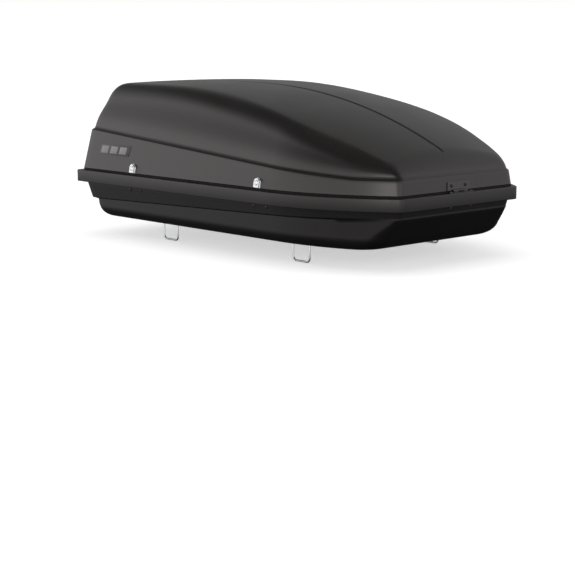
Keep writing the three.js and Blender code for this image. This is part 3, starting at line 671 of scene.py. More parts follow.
def lid_column(place, wall, step_face, swell):
    """Points from the side line up the wall, over the hip and across the roof to the spine."""
    rise = wall_rise(place, wall)
    run = min(HIP_RUN, rise * 0.8)
    tall = rise / (STEP_TAIL - STEP_NOSE + HIP_RUN)

    def wall_at(height):
        share = height / rise
        bow = swell * tall * math.sin(math.tau * max(0.0, share)) * (1 - share)
        return wall_point(place, height, wall, bow)

    crest = wall_point(place, rise, wall)
    inwards = Vector((ROOF_CENTRE, 0, crest.z)) - crest
    end = crest + inwards.normalized() * run
    end.z = roof_height(end.x, end.y) - wall
    start = wall_at(rise - run)
    column = []
    foot = step_face - STEP_RISE
    for i in range(WALL_STEPS):
        column.append(wall_at(foot + (rise - run - foot) * i / WALL_STEPS))
    for i in range(HIP_STEPS + 1):
        share = i / HIP_STEPS
        column.append(start * (1 - share) ** 2 + crest * 2 * share * (1 - share) + end * share ** 2)
    spine = Vector((min(SPINE, max(-SPINE, end.x)), 0, 0))
    for i in range(1, ROOF_STEPS + 1):
        point = end.lerp(spine, i / ROOF_STEPS)
        point.z = roof_height(point.x, point.y) - wall
        column.append(point)
    return column


def side_line_row(inset, rise):
    """Row at an inset and rise from the side line's lower edge."""
    def rule(x):
        z = step_height(x)
        return {"nose": skirt_inset(z) + inset, "side": skirt_inset(z) + inset}, z + rise
    return row(rule)


def skirt_rows(edge, wall):
    """Rows up the skirt, from near its foot to near the side line."""
    rows = []
    for i in range(6):
        share = i / 5

        def rule(x, share=share):
            z = (LID_FOOT + edge) + (step_height(x) - edge - LID_FOOT - edge) * share
            return {"nose": skirt_inset(z) + wall, "side": skirt_inset(z) + wall}, z
        rows.append(row(rule))
    return rows


def lid_rows(sizes):
    edge = sizes.edge_round
    columns = {}
    for wall in (0, LID_WALL):
        strips = [lid_column(place, wall, sizes.step_face, sizes.wall_swell) for place in PLACES]
        columns[wall] = [list(points) for points in zip(*strips)]
    flange_top = LID_FOOT + LID_WALL
    flange_edge = LID_INSET + FLANGE_WIDTH
    half = LID_WALL / 2
    bead = arc_points((flange_edge - half, LID_FOOT + half), half, 90, -90, 6)
    foot = arc_points((LID_INSET + edge, LID_FOOT + edge), edge, 270, 180, 3)
    crest = [(0.1 * edge, -0.35 * edge), (0.45 * edge, -0.05 * edge)]
    return [
        *reversed(columns[LID_WALL]),
        side_line_row(LID_WALL, 0),
        *reversed(skirt_rows(LID_WALL + edge, LID_WALL)),
        level_row(flange_edge - edge, flange_top),
        *[level_row(inset, z) for inset, z in bead],
        *[level_row(inset, z) for inset, z in foot],
        *skirt_rows(edge, 0),
        *[side_line_row(inset, rise) for inset, rise in crest],
        *columns[0],
    ]


def cut_channel(bm, sizes):
    """Cuts the edges of the channel into the middle of the roof and lowers its floor."""
    half = sizes.channel_width / 2
    edge = sizes.channel_edge
    ends = ((CHANNEL_TAIL, 1), (CHANNEL_NOSE, -1))
    lines = [((0, half - inset, 0), (0, 1, 0)) for inset in (-0.4 * edge, 0, edge, 1.3 * edge)]
    for x, inwards in ends:
        lines += [((x + inwards * inset, 0, 0), (1, 0, 0)) for inset in (0, 2 * edge, 3 * edge)]

    def near(face):
        middle = face.calc_center_median()
        high = middle.z > LID_FOOT + HIP_RUN
        along = CHANNEL_TAIL - 0.05 < middle.x < CHANNEL_NOSE + 0.03
        return high and along and min(v.co.y for v in face.verts) < half + edge

    for point, normal in lines:
        faces = [face for face in bm.faces if near(face)]
        edges = list({e for face in faces for e in face.edges})
        verts = list({v for face in faces for v in face.verts})
        bmesh.ops.bisect_plane(bm, geom=verts + edges + faces, dist=1e-6,
                               plane_co=point, plane_no=normal)
    for vertex in {v for face in bm.faces if near(face) for v in face.verts}:
        x, y, _ = vertex.co
        across = min(1.0, max(0.0, (half - y) / edge))
        along = min((x - CHANNEL_TAIL) / (2 * edge), (CHANNEL_NOSE - x) / (2 * edge))
        vertex.co.z -= sizes.channel_depth * min(across, min(1.0, max(0.0, along)))


# ---- Tub surface ----
def ledge_height(x):
    share = min(1.0, max(0.0, (x + LENGTH / 2) / LENGTH))
    return LEDGE_TAIL + (LEDGE_NOSE - LEDGE_TAIL) * share


def upper_inset(z):
    return TUB_INSET + max(0.0, BAND_BOTTOM - z) * TUB_LEAN


def side_inset(x, z):
    step = LEDGE_STEP * (1 - smooth_share(x, *LEDGE_FADE))
    return upper_inset(ledge_height(x)) + step + (ledge_height(x) - z) * LOWER_LEAN


def rake(x, z):
    return BOW_RAKE * (1 - z / (ledge_height(x) - LEDGE_DROP))


def keel_row(turn, wall, share_in=0.0):
    """Row of the keel's rounding at a turn in radians, or further in across the floor."""
    def rule(x):
        radius = KEEL_RADIUS - wall
        z = wall + radius * (1 - math.sin(turn))
        side = side_inset(x, KEEL_RADIUS) + wall + radius * (1 - math.cos(turn))
        plan = {"nose": side + rake(x, z), "side": side,
                "nose_round": LOWER_ROUND, "tail_round": TAIL_ROUND + 12 * MM}
        return plan, z
    points = row(rule)
    return [point.lerp(Vector((min(0.4, max(-0.55, point.x)), 0, point.z)), share_in)
            for point in points]


def rake_row(share, wall):
    def rule(x):
        top = ledge_height(x) - LEDGE_DROP
        z = top + (KEEL_RADIUS - top) * share
        side = side_inset(x, z) + wall
        plan = {"nose": side + rake(x, z), "side": side,
                "nose_round": NOSE_ROUND + (LOWER_ROUND - NOSE_ROUND) * share,
                "tail_round": TAIL_ROUND + 6 * MM}
        return plan, z
    return row(rule)


def ledge_row(share, wall):
    """Row across the ledge: 0 at its inner lower edge, 1 at its outer upper edge."""
    lower = rake_row(0, wall)

    def rule(x):
        z = ledge_height(x) + wall * 0.6
        return {"nose": upper_inset(z) + wall, "side": upper_inset(z) + wall}, z
    upper = row(rule)
    return [low.lerp(high, share) for low, high in zip(lower, upper)]


def tub_side_rows(wall):
    """Rows of one skin from the spine of the floor up to just under the band."""
    rows = [keel_row(math.pi / 2, wall, 1 - i / 6) for i in range(6)]
    rows += [keel_row(math.radians(90 - 9 * i), wall) for i in range(10)]
    rows += [rake_row(1 - i / 6, wall) for i in range(7)]
    rows += [ledge_row(share, wall) for share in (0.06, 0.94, 1.0)]
    ledge = rows[-1]
    top = level_row(TUB_INSET + wall, BAND_BOTTOM)
    rows += [[low.lerp(high, share) for low, high in zip(ledge, top)]
             for share in (0.03, 0.25, 0.5, 0.75, 1.0)]
    return rows


def tub_rows(sizes):
    edge = sizes.edge_round
    under = RIM_TOP - TUB_WALL
    shelf = TUB_INSET + TUB_WALL
    round_top = 3 * MM
    lip = arc_points((BAND_WALL / 2, BAND_BOTTOM + BAND_WALL / 2), BAND_WALL / 2, 0, -180, 8)
    crown = arc_points((round_top, RIM_TOP - round_top), round_top, 180, 90, 6)
    inner = arc_points((shelf - edge, RIM_TOP - edge), edge, 90, 0, 3)
    section = [
        (TUB_INSET, under - edge), (TUB_INSET - edge, under), (BAND_WALL + edge, under),
        (BAND_WALL, under - edge), *lip, (0, RIM_TOP - 20 * MM), *crown,
        (shelf / 2, RIM_TOP), *inner,
    ]
    return [
        *tub_side_rows(0),
        *[level_row(inset, z) for inset, z in section],
        *reversed(tub_side_rows(TUB_WALL)),
    ]


# ---- Operators ----
class CARGO_OT_lid(Operator):
    """Makes the lid: skirt, side line, swelling wall, rounded hip and roof with its channel."""

    bl_idname = "cargo_box.lid"
    bl_label = "Lid"

    def execute(self, context):
        sizes = context.scene.cargo_box_sizes
        bm = half_shell(lid_rows(sizes))
        bmesh.ops.remove_doubles(bm, verts=bm.verts, dist=1e-5)
        cut_channel(bm, sizes)
        whole_shell(bm)
        piece("lid", bm, "lid", "lid_plastic", ["lid_shell"])
        return {"FINISHED"}


class CARGO_OT_tub(Operator):
    """Makes the tub: floor, keel, ledge, wall and the band folded over at the rim."""

    bl_idname = "cargo_box.tub"
    bl_label = "Tub"

    def execute(self, context):
        bm = half_shell(tub_rows(context.scene.cargo_box_sizes))
        whole_shell(bm)
        piece("tub", bm, "base", "tub_plastic", ["base_tub"])
        return {"FINISHED"}


class CARGO_OT_seal(Operator):
    """Makes the rubber seal: a flat foot and two soft lips that the lid's flange rests on."""

    bl_idname = "cargo_box.seal"
    bl_label = "Rim seal"

    def execute(self, context):
        low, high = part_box("rim_seal")
        outer = WIDTH / 2 - high.y
        width = 12 * MM
        tall = high.z - low.z
        lip = tall / 2
        section = [(outer, low.z), *arc_points((outer + lip, high.z - lip), lip, 180, 40, 8),
                   (outer + width / 2, high.z - 1.6 * MM),
                   *arc_points((outer + width - lip, high.z - lip), lip, 140, 0, 8),
                   (outer + width, low.z), (outer, low.z)]
        bm = half_shell([level_row(inset, z) for inset, z in section])
        whole_shell(bm)
        piece("seal", bm, "base", "seal_rubber", ["rim_seal"], sharp=50)
        return {"FINISHED"}


def hexagon(across, low, high, place):
    """A hexagonal prism as a cutter."""
    bm = bmesh.new()
    bmesh.ops.create_cone(bm, cap_ends=True, segments=6, radius1=across / 1.732,
                          radius2=across / 1.732, depth=high - low)
    bmesh.ops.translate(bm, vec=(0, 0, (high + low) / 2), verts=bm.verts)
    bmesh.ops.transform(bm, matrix=place, verts=bm.verts)
    return bm


def socket_head(radius, base, height):
    """Profile of a cap screw's head above its bearing face."""
    edge = 0.8 * MM
    return [(radius, base), *[(radius - edge + x, base + height - edge + z) for x, z in
            arc_points((0, 0), edge, 0, 90, 3)], (0, base + height)]


class CARGO_OT_hinge(Operator):
    """Makes the nose hinge's screws and pin, and finishes its two leaves."""

    bl_idname = "cargo_box.hinge"
    bl_label = "Nose hinge"

    def execute(self, context):
        for leaf in ("hinge_lid_leaf", "hinge_base_leaf"):
            coat(leaf, "black_steel")
        for node in ("hinge_lid_bolt_a", "hinge_lid_bolt_b"):
            self.lid_bolt(node)
        for node in ("hinge_base_bolt_a", "hinge_base_bolt_b"):
            self.base_bolt(node)
        low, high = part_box("hinge_pin")
        radius = (high.z - low.z) / 2
        middle = (low + high) / 2
        half = (high.y - low.y) / 2
        bm = bmesh.new()
        turned(bm, [(0, -half), (radius - 0.6 * MM, -half), (radius, -half + 0.6 * MM),
                    (radius, half - 0.6 * MM), (radius - 0.6 * MM, half), (0, half)],
               Matrix.Translation(middle) @ Matrix.Rotation(math.pi / 2, 4, "X"))
        piece("hinge_rod", bm, "base", "zinc_steel", ["hinge_pin"])
        return {"FINISHED"}

    def lid_bolt(self, node):
        low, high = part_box(node)
        along = (low.y + high.y) / 2
        up = 17.5 * MM
        place = wall_place(math.pi / 2, along, LENGTH / 2 - LID_INSET, LID_FOOT, SKIRT_ANGLE)
        place = place @ Matrix.Translation((0, up, 0))
        outer = 3.1 * MM
        inner = -4.3 * MM
        bm = bmesh.new()
        turned(bm, [(0, inner - 4 * MM), (4.5 * MM, inner - 4 * MM), (4.5 * MM, inner),
                    (2.5 * MM, inner), (2.5 * MM, outer), *socket_head(5.5 * MM, outer, 3.5 * MM)],
               place)
        bm = carve(bm, hexagon(5 * MM, outer + 1.2 * MM, outer + 9 * MM, place))
        piece(node + "_screw", bm, "lid", "black_steel", [node])

    def base_bolt(self, node):
        low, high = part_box(node)
        place = Matrix.Translation(((low.x + high.x) / 2, (low.y + high.y) / 2, 0))
        foot = low.z
        washer = RIM_TOP - TUB_WALL - GAP
        seat = high.z - 3.2 * MM
        bm = bmesh.new()
        turned(bm, [(0, foot), (1.9 * MM, foot), (2.5 * MM, foot + 0.6 * MM),
                    (2.5 * MM, foot + 4 * MM), (4.5 * MM, foot + 4 * MM),
                    (4.5 * MM, foot + 9 * MM), (2.5 * MM, foot + 9 * MM),
                    (2.5 * MM, washer - 1 * MM), (4.5 * MM, washer - 1 * MM), (4.5 * MM, washer),
                    (2.5 * MM, washer), (2.5 * MM, seat), *socket_head(5.5 * MM, seat, 3.2 * MM)],
               place)
        bm = carve(bm, hexagon(5 * MM, seat + 1 * MM, seat + 9 * MM, place))
        piece(node + "_screw", bm, "base", "black_steel", [node])


def arch(width, height, steps=20):
    """Outline of a lock housing: straight sides under a half round top."""
    radius = width / 2
    top = [(radius * math.cos(math.pi * i / steps),
            height - radius + radius * math.sin(math.pi * i / steps)) for i in range(steps + 1)]
    return [(-radius, 0), (radius, 0), *top]


class CARGO_OT_locks(Operator):
    """Makes the four side locks: cast housing with its collar, key barrel and rivets; finishes each
    cam and strike.
    """

    bl_idname = "cargo_box.locks"
    bl_label = "Side locks"

    def execute(self, context):
        for side, (turn, sign) in SIDES.items():
            for end in ENDS:
                self.lock(f"{end}_{side}_lock", turn, sign)
                self.rivets(f"{end}_{side}_lock", turn, sign)
                coat(f"{end}_{side}_lock_strike", "zinc_steel")
                coat(f"{end}_{side}_lock_cam", "zinc_steel")
        return {"FINISHED"}

    def lock(self, name, turn, sign):
        low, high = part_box(name + "_housing")
        along = -sign * (low.x + high.x) / 2
        depth = LOCK_DEPTH
        face = wall_place(turn, along, WIDTH / 2 - LID_INSET, LID_FOOT, SKIRT_ANGLE)
        middle = face @ Matrix.Translation((0, LOCK_AXIS, 0))
        bm = bmesh.new()
        raised(bm, arch(LOCK_WIDTH, LOCK_HEIGHT), GAP, 4 * MM,
               face @ Matrix.Translation((0, 1 * MM, 0)), rounding=0.8 * MM)
        raised(bm, arch(26 * MM, 33 * MM), 3.2 * MM, depth - 1 * MM,
               face @ Matrix.Translation((0, 1.8 * MM, 0)), rounding=1.2 * MM)
        bm = carve(bm, self.bore(middle, LOCK_BORE))
        turned(bm, [(LOCK_BORE, 2 * MM), (10.4 * MM, 2 * MM), (10.4 * MM, depth - 0.5 * MM),
                    (9.9 * MM, depth), (9.3 * MM, depth), (LOCK_BORE, depth - 0.5 * MM),
                    (LOCK_BORE, 2 * MM)], middle)
        piece(name + "_case", bm, "lid", "lock_silver", [name + "_housing"])

        out = depth + 0.6 * MM
        bm = bmesh.new()
        turned(bm, [(0, -BARREL_REACH), (6.5 * MM, -BARREL_REACH), (6.5 * MM, 0.6 * MM),
                    (8.5 * MM, 0.6 * MM), (8.5 * MM, out - 1 * MM), (7.5 * MM, out),
                    (6.2 * MM, out), (5.6 * MM, out - 0.7 * MM), (0, out - 0.7 * MM)], middle)
        slot = bmesh.new()
        bmesh.ops.create_cube(slot, size=1)
        bmesh.ops.scale(slot, vec=(1.6 * MM, 7 * MM, 8 * MM), verts=slot.verts)
        bmesh.ops.transform(slot, matrix=middle @ Matrix.Translation((0, 0, out)),
                            verts=slot.verts)
        bm = carve(bm, slot)
        # A block deep in the key slot, coloured near black as painted shade inside the keyway.
        raised(bm, [(-0.7 * MM, -3.2 * MM), (0.7 * MM, -3.2 * MM), (0.7 * MM, 3.2 * MM),
                    (-0.7 * MM, 3.2 * MM)], out - 3.9 * MM, out - 1.6 * MM, middle, material=1)
        piece(name + "_key_barrel", bm, name, "lock_silver", [name + "_barrel"],
              materials=["lock_silver", "keyway_painted_shade"])

    def bore(self, place, radius):
        bm = bmesh.new()
        turned(bm, [(0, -5 * MM), (radius, -5 * MM), (radius, 20 * MM), (0, 20 * MM)], place)
        return bm

    def rivets(self, name, turn, sign):
        for letter in "ab":
            node = f"{name}_rivet_{letter}"
            low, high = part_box(node)
            height = BAND_BOTTOM - 11 * MM
            place = wall_place(turn, -sign * (low.x + high.x) / 2,
                               WIDTH / 2 - upper_inset(height), height, TUB_ANGLE)
            inner = -7.25 * MM
            dome = [(6 * MM * math.cos(a), 0.5 * MM + 2.5 * MM * math.sin(a)) for a in
                    (math.pi / 2 * i / 6 for i in range(6))]
            bm = bmesh.new()
            turned(bm, [(0, inner - 2 * MM), (4.4 * MM, inner - 2 * MM), (5 * MM, inner - 1.4 * MM),
                        (5 * MM, inner), (3 * MM, inner), (3 * MM, GAP), (6 * MM, GAP),
                        *dome, (1.6 * MM, 3 * MM), (1.2 * MM, 2.2 * MM), (0, 2.2 * MM)],
                   place, steps=24)
            piece(node + "_domed", bm, "base", "black_steel", [node])


class CARGO_OT_clamps(Operator):
    """Makes the four clamps: bent U-bolts with threads, ribbed plates and lobed knobs."""

    bl_idname = "cargo_box.clamps"
    bl_label = "Roof bar clamps"

    def execute(self, context):
        sizes = context.scene.cargo_box_sizes
        for end in ENDS:
            coat(f"{end}_floor_rail", "zinc_steel")
            for side in SIDES:
                name = f"{end}_{side}_clamp"
                low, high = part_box(name + "_u_bolt")
                middle = (low + high) / 2
                self.u_bolt(name, low, high, middle, sizes)
                self.plate(name)
                for letter in "ab":
                    self.knob(f"{name}_knob_{letter}")
        return {"FINISHED"}

    def u_bolt(self, name, low, high, middle, sizes):
        """A ring is carried down one leg, round two bends and up the other leg."""
        radius = sizes.rod / 2
        half = LEG_PITCH / 2
        floor = low.z + radius
        turns = int(THREAD_LENGTH / sizes.thread_pitch)
        plain = high.z - ROD_CHAMFER - turns * sizes.thread_pitch - floor - ROD_BEND
        bm = bmesh.new()
        ring = bmesh.ops.create_circle(bm, cap_ends=True, radius=radius * 0.8, segments=16)["verts"]
        bmesh.ops.translate(bm, vec=(middle.x - half, middle.y, high.z), verts=ring)
        edges = list({e for v in ring for e in v.link_edges})
        edges = self.carry(bm, edges, (0, 0, -ROD_CHAMFER), 1.25)
        edges = self.thread(bm, edges, -sizes.thread_pitch, turns)
        edges = self.carry(bm, edges, (0, 0, -plain))
        edges = self.bend(bm, edges, (middle.x - half + ROD_BEND, middle.y, floor + ROD_BEND))
        edges = self.carry(bm, edges, (2 * half - 2 * ROD_BEND, 0, 0))
        edges = self.bend(bm, edges, (middle.x + half - ROD_BEND, middle.y, floor + ROD_BEND))
        edges = self.carry(bm, edges, (0, 0, plain))
        edges = self.thread(bm, edges, sizes.thread_pitch, turns)
        edges = self.carry(bm, edges, (0, 0, ROD_CHAMFER), 0.8)
        bmesh.ops.edgeloop_fill(bm, edges=edges)
        bmesh.ops.recalc_face_normals(bm, faces=bm.faces)
        piece(name + "_hook", bm, name + "_u_bolt", "zinc_steel", [name + "_u_bolt"])

    def thread(self, bm, edges, pitch, turns):
        """Carries a ring along a thread, in and out once a turn."""
        for _ in range(turns):
            edges = self.carry(bm, edges, (0, 0, pitch / 2), THREAD_ROOT)
            edges = self.carry(bm, edges, (0, 0, pitch / 2), 1 / THREAD_ROOT)
        return edges

    def carry(self, bm, edges, vector, scale=1.0):
        """Extrudes a ring of edges, moves it and scales it about its middle."""
        made = bmesh.ops.extrude_edge_only(bm, edges=edges)["geom"]
        verts = [item for item in made if isinstance(item, bmesh.types.BMVert)]
        bmesh.ops.translate(bm, vec=vector, verts=verts)
        if scale != 1.0:
            middle = sum((v.co for v in verts), Vector()) / len(verts)
            bmesh.ops.scale(bm, vec=(scale, scale, 1), verts=verts,
                            space=Matrix.Translation(-middle))
        ring = set(verts)
        return [item for item in made if isinstance(item, bmesh.types.BMEdge)
                and item.verts[0] in ring and item.verts[1] in ring]

    def bend(self, bm, edges, centre):
        """Spins a ring of edges a quarter turn about the Y axis."""
        spun = bmesh.ops.spin(bm, geom=edges, cent=centre, axis=(0, -1, 0), dvec=(0, 0, 0),
                              angle=math.pi / 2, steps=8, use_duplicate=False)["geom_last"]
        return [item for item in spun if isinstance(item, bmesh.types.BMEdge)]

    def plate(self, name):
        node = name + "_plate"
        low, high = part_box(node)
        corners = [(low.x, low.y), (high.x, low.y), (high.x, high.y), (low.x, high.y)]
        bm = bmesh.new()
        raised(bm, corners, low.z, high.z - 2 * MM, rounding=1.5 * MM)
        middle = (low + high) / 2
        long_half = LEG_PITCH / 2 - 25 * MM
        for y in (-13, -4.5, 4.5, 13):
            rib = [(middle.x - long_half, middle.y + (y - 1.6) * MM),
                   (middle.x + long_half, middle.y + (y - 1.6) * MM),
                   (middle.x + long_half, middle.y + (y + 1.6) * MM),
                   (middle.x - long_half, middle.y + (y + 1.6) * MM)]
            raised(bm, rib, high.z - 3 * MM, high.z, rounding=0.7 * MM)
        for sign in (-1, 1):
            place = Matrix.Translation((middle.x + sign * LEG_PITCH / 2, middle.y, 0))
            foot = high.z - 3 * MM
            turned(bm, [(4.2 * MM, foot), (14 * MM, foot), (13.4 * MM, high.z),
                        (4.2 * MM, high.z), (4.2 * MM, foot)], place)
        piece(name + "_ribbed_plate", bm, "base", "knob_plastic", [node])

    def knob(self, node):
        low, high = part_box(node)
        middle = (low + high) / 2
        grip, waist, lobes, steps = 23 * MM, 15 * MM, 4, 72
        tall = 13 * MM
        outline = []
        for i in range(steps):
            angle = math.tau * i / steps
            radius = (grip + waist) / 2 + (grip - waist) / 2 * math.cos(lobes * angle)
            outline.append((radius * math.cos(angle), radius * math.sin(angle)))
        place = Matrix.Translation((middle.x, middle.y, low.z))
        bm = bmesh.new()
        raised(bm, outline, 0, tall, place, rounding=2.2 * MM)
        bore = 3.9 * MM
        hub = high.z - low.z
        turned(bm, [(bore, tall - 2 * MM), (13 * MM, tall - 1 * MM), (12 * MM, tall + 1.5 * MM),
                    (11 * MM, tall + 3 * MM), (10.4 * MM, hub - 1.2 * MM), (9.2 * MM, hub),
                    (bore + 0.8 * MM, hub), (bore, hub - 0.8 * MM), (bore, tall - 2 * MM)], place)
        piece(node + "_grip", bm, node, "knob_plastic", [node])


class CARGO_OT_stay(Operator):
    """Makes the lid stay's rod and pin, and finishes its bracket and catch."""

    bl_idname = "cargo_box.stay"
    bl_label = "Lid stay"

    def execute(self, context):
        coat("stay_bracket", "black_steel")
        coat("stay_catch", "black_steel")
        low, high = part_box("stay_rod")
        radius = 4 * MM
        eye = (high.z - low.z) / 2
        pivot = Vector((high.x - eye, (low.y + high.y) / 2, (low.z + high.z) / 2))
        across = Matrix.Rotation(math.pi / 2, 4, "X")
        length = pivot.x - low.x
        tip = arc_points((0, length - radius), radius, 0, 90, 6)
        bm = bmesh.new()
        turned(bm, [(0, eye - 2 * MM), (radius, eye - 2 * MM), (radius, 0.3 * length),
                    (radius * 1.35, 0.3 * length + 1 * MM), (radius * 1.35, 0.6 * length),
                    (radius, 0.6 * length + 1 * MM), *tip],
               Matrix.Translation(pivot) @ Matrix.Rotation(-math.pi / 2, 4, "Y"), steps=20)
        bore = 3.3 * MM
        turned(bm, [(bore, -radius), (eye - 1 * MM, -radius), (eye, -radius + 1 * MM),
                    (eye, radius - 1 * MM), (eye - 1 * MM, radius), (bore, radius),
                    (bore, -radius)], Matrix.Translation(pivot) @ across)
        piece("stay_prop", bm, "stay", "zinc_steel", ["stay_rod"])

        low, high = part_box("stay_pin")
        head = (high.z - low.z) / 2
        bm = bmesh.new()
        turned(bm, [(0, 0), (3 * MM, 0), (3 * MM, high.y - low.y - 2.5 * MM),
                    (head, high.y - low.y - 2.5 * MM), (head, high.y - low.y - 1.2 * MM),
                    (head - 1.4 * MM, high.y - low.y), (0, high.y - low.y)],
               Matrix.Translation((pivot.x, low.y, pivot.z)) @ across.inverted())
        piece("stay_pivot_pin", bm, "base", "zinc_steel", ["stay_pin"])
        return {"FINISHED"}


class CARGO_OT_emblems(Operator):
    """Makes the two side emblems: three slanted bars on a thin plate."""

    bl_idname = "cargo_box.emblems"
    bl_label = "Emblems"

    def execute(self, context):
        for side, (turn, sign) in SIDES.items():
            node = side + "_emblem"
            low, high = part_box(node)
            slant, tall = 12 * MM, 40 * MM
            half = (high.x - low.x - slant) / 2
            along = -sign * ((low.x + high.x) / 2) - slant / 2
            place = wall_place(turn, along, WIDTH / 2 - LID_INSET, LID_FOOT, SKIRT_ANGLE)
            place = place @ Matrix.Translation((0, 82 * MM - tall / 2, 0))
            bm = bmesh.new()
            raised(bm, self.slanted(-half, half, 0, tall, slant, tall), GAP, 1.3 * MM, place,
                   rounding=0.4 * MM)
            pitch = (2 * half - 16 * MM) / 3
            for i in range(3):
                start = -half + 10 * MM + i * pitch
                end = start + pitch - 14 * MM
                bar = self.slanted(start, end, 6 * MM, tall - 6 * MM, slant, tall)
                raised(bm, bar, 1.2 * MM, 2.3 * MM, place, rounding=0.5 * MM, material=1)
            piece(side + "_emblem_bars", bm, "lid", "emblem_grey", [node],
                  materials=["lid_plastic", "emblem_grey"])
        return {"FINISHED"}

    def slanted(self, x0, x1, y0, y1, slant, tall):
        low, high = slant * y0 / tall, slant * y1 / tall
        return [(x0 + low, y0), (x1 + low, y0), (x1 + high, y1), (x0 + high, y1)]


CAMERA_PLACE = (3.944, -3.767, 0.733)
CAMERA_DIP = 10.21
CAMERA_TURN = 46.88
CAMERA_LENS = 89.45
KEY_PLACE = (3.4, -4.4, 1.0)
KEY_AIM = (0.5, 0, 0.2)
KEY_POWER = 26
SUN_POWER = 1.1
SUN_SPREAD = 70
FLOOR_GLOW = 0.55
FLOOR_SHADE = (0.86, 0.86, 0.86, 1)
BRIGHTEST = 2.5
# Brightness of the studio's walls along one part of a direction: its height for the low wall
# and BACK_HEIGHT, its length towards the nose for BACK_WALL.
LOW_WALL = ((-1.0, 0.02), (-0.5, 0.04), (-0.22, 0.5), (-0.03, 1.3), (0.1, 1.75), (0.25, 1.75),
            (0.4, 0.9), (0.52, 0.4), (0.6, 0.06), (0.68, 0.0), (1.0, 0.0))
BACK_WALL = ((-1.0, 0.35), (-0.5, 0.42), (-0.1, 0.7), (0.3, 1.0), (1.0, 1.0))
BACK_HEIGHT = ((-1.0, 0.02), (-0.35, 0.04), (0.0, 0.9), (0.1, 1.0), (0.5, 1.0), (0.7, 0.4),
               (1.0, 0.1))


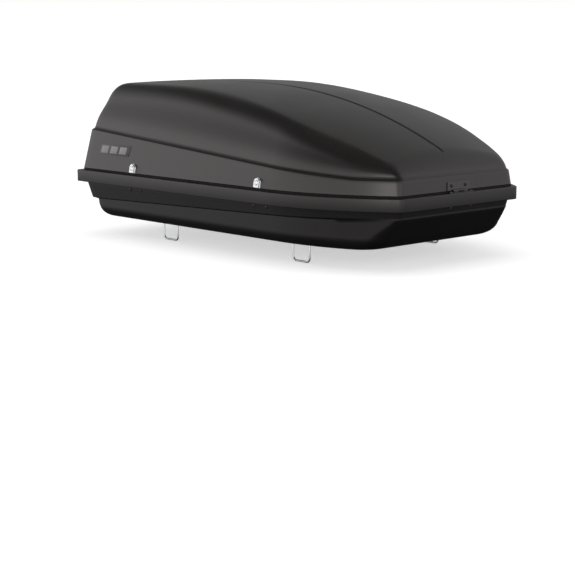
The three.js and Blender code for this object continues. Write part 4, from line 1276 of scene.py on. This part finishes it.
class CARGO_OT_stage(Operator):
    """Makes the floor, the soft studio light and the camera."""

    bl_idname = "cargo_box.stage"
    bl_label = "Studio"

    def execute(self, context):
        self.floor()
        self.sky(context.scene)
        self.lights()
        self.camera(context.scene)
        context.scene.view_settings.view_transform = "Standard"
        return {"FINISHED"}

    def floor(self):
        bm = bmesh.new()
        bmesh.ops.create_grid(bm, x_segments=1, y_segments=1, size=80)
        bmesh.ops.translate(bm, vec=(0, 0, CAD_LOW.z - 0.5 * MM), verts=bm.verts)
        mesh = bpy.data.meshes.new("floor")
        bm.to_mesh(mesh)
        bm.free()
        made, tree, shader = blank_material("studio_floor")
        shader.inputs["Base Color"].default_value = FLOOR_SHADE
        shader.inputs["Roughness"].default_value = 0.8
        shader.inputs["Specular IOR Level"].default_value = 0.1
        shader.inputs["Emission Color"].default_value = (1, 1, 1, 1)
        shader.inputs["Emission Strength"].default_value = FLOOR_GLOW
        mesh.materials.append(made)
        floor = bpy.data.objects.new("floor", mesh)
        floor.visible_glossy = False
        floor.visible_diffuse = False
        bpy.context.scene.collection.objects.link(floor)

    def sky(self, scene):
        """A studio with a bright low wall round three sides, a dimmer back wall and a dark top."""
        world = bpy.data.worlds.new("studio")
        world.use_nodes = True
        scene.world = world
        tree = world.node_tree
        background = tree.nodes["Background"]
        direction = add_node(tree, "TexCoord").outputs["Generated"]
        parts = add_node(tree, "SeparateXYZ", None, {0: direction}).outputs
        low_wall = self.ramp(tree, parts["Z"], LOW_WALL)
        back_wall = self.ramp(tree, parts["X"], BACK_WALL)
        back_high = self.ramp(tree, parts["Z"], BACK_HEIGHT)
        back = maths(tree, "MULTIPLY", back_wall, back_high)
        behind = add_node(tree, "MapRange", {"interpolation_type": "SMOOTHSTEP"},
                          {"Value": parts["Y"], "From Min": 0.12, "From Max": 0.5}).outputs[0]
        shade = add_node(tree, "Mix", None, {0: behind, 2: low_wall, 3: back}).outputs[0]
        seen = add_node(tree, "LightPath").outputs["Is Camera Ray"]
        shown = add_node(tree, "Mix", None, {0: seen, 2: shade, 3: 1.0}).outputs[0]
        tree.links.new(shown, background.inputs["Color"])

    def ramp(self, tree, value, stops):
        """Brightness along a direction's height or width, from (place, brightness) stops."""
        fitted = add_node(tree, "MapRange", None, {"Value": value, "From Min": -1.0})
        curve = add_node(tree, "ValToRGB", None, {0: fitted.outputs[0]})
        marks = curve.color_ramp.elements
        marks.remove(marks[-1])
        for i, (place, shade) in enumerate(stops):
            mark = marks.new((place + 1) / 2) if i else marks[0]
            mark.color = (*(shade / BRIGHTEST,) * 3, 1)
        return maths(tree, "MULTIPLY", curve.outputs[0], BRIGHTEST)

    def lights(self):
        """Soft light from above for the floor, and a key light near the camera's side."""
        data = bpy.data.lights.new("overhead", "SUN")
        data.energy = SUN_POWER
        data.angle = math.radians(SUN_SPREAD)
        light = bpy.data.objects.new("overhead", data)
        light.rotation_euler = (math.radians(8), math.radians(-6), 0)
        light.visible_glossy = False
        bpy.context.scene.collection.objects.link(light)
        data = bpy.data.lights.new("key", "AREA")
        data.size = 1.6
        data.energy = KEY_POWER
        light = bpy.data.objects.new("key", data)
        light.location = KEY_PLACE
        aim = Vector(KEY_AIM) - light.location
        light.rotation_euler = aim.to_track_quat("-Z", "Y").to_euler()
        light.visible_camera = False
        bpy.context.scene.collection.objects.link(light)

    def camera(self, scene):
        data = bpy.data.cameras.new("camera")
        data.lens = CAMERA_LENS
        data.sensor_width = 36
        data.clip_end = 300
        camera = bpy.data.objects.new("camera", data)
        camera.location = CAMERA_PLACE
        camera.rotation_euler = (math.radians(90 - CAMERA_DIP), 0, math.radians(CAMERA_TURN))
        scene.collection.objects.link(camera)
        scene.camera = camera


OPERATORS = (CARGO_OT_stage, CARGO_OT_lid, CARGO_OT_tub, CARGO_OT_seal, CARGO_OT_hinge,
             CARGO_OT_locks, CARGO_OT_clamps, CARGO_OT_stay, CARGO_OT_emblems)


class CARGO_PT_panel(Panel):
    """Lists the sizes, the finishes and a button for each piece."""

    bl_idname = "CARGO_PT_panel"
    bl_label = "Cargo box"
    bl_space_type = "VIEW_3D"
    bl_region_type = "UI"
    bl_category = "Cargo box"

    def draw(self, context):
        for group in (context.scene.cargo_box_sizes, context.scene.cargo_box_finishes):
            column = self.layout.column()
            for setting in group.__annotations__:
                column.prop(group, setting)
        for operator in OPERATORS:
            self.layout.operator(operator.bl_idname)


CLASSES = (CargoBoxSizes, CargoBoxFinishes, *OPERATORS, CARGO_PT_panel)


def register():
    for cls in CLASSES:
        bpy.utils.register_class(cls)
    bpy.types.Scene.cargo_box_sizes = PointerProperty(type=CargoBoxSizes)
    bpy.types.Scene.cargo_box_finishes = PointerProperty(type=CargoBoxFinishes)


def unregister():
    del bpy.types.Scene.cargo_box_finishes
    del bpy.types.Scene.cargo_box_sizes
    for cls in reversed(CLASSES):
        bpy.utils.unregister_class(cls)


def main():
    register()
    for operator in OPERATORS:
        group, name = operator.bl_idname.split(".")
        getattr(getattr(bpy.ops, group), name)()


if __name__ == "__main__":
    main()
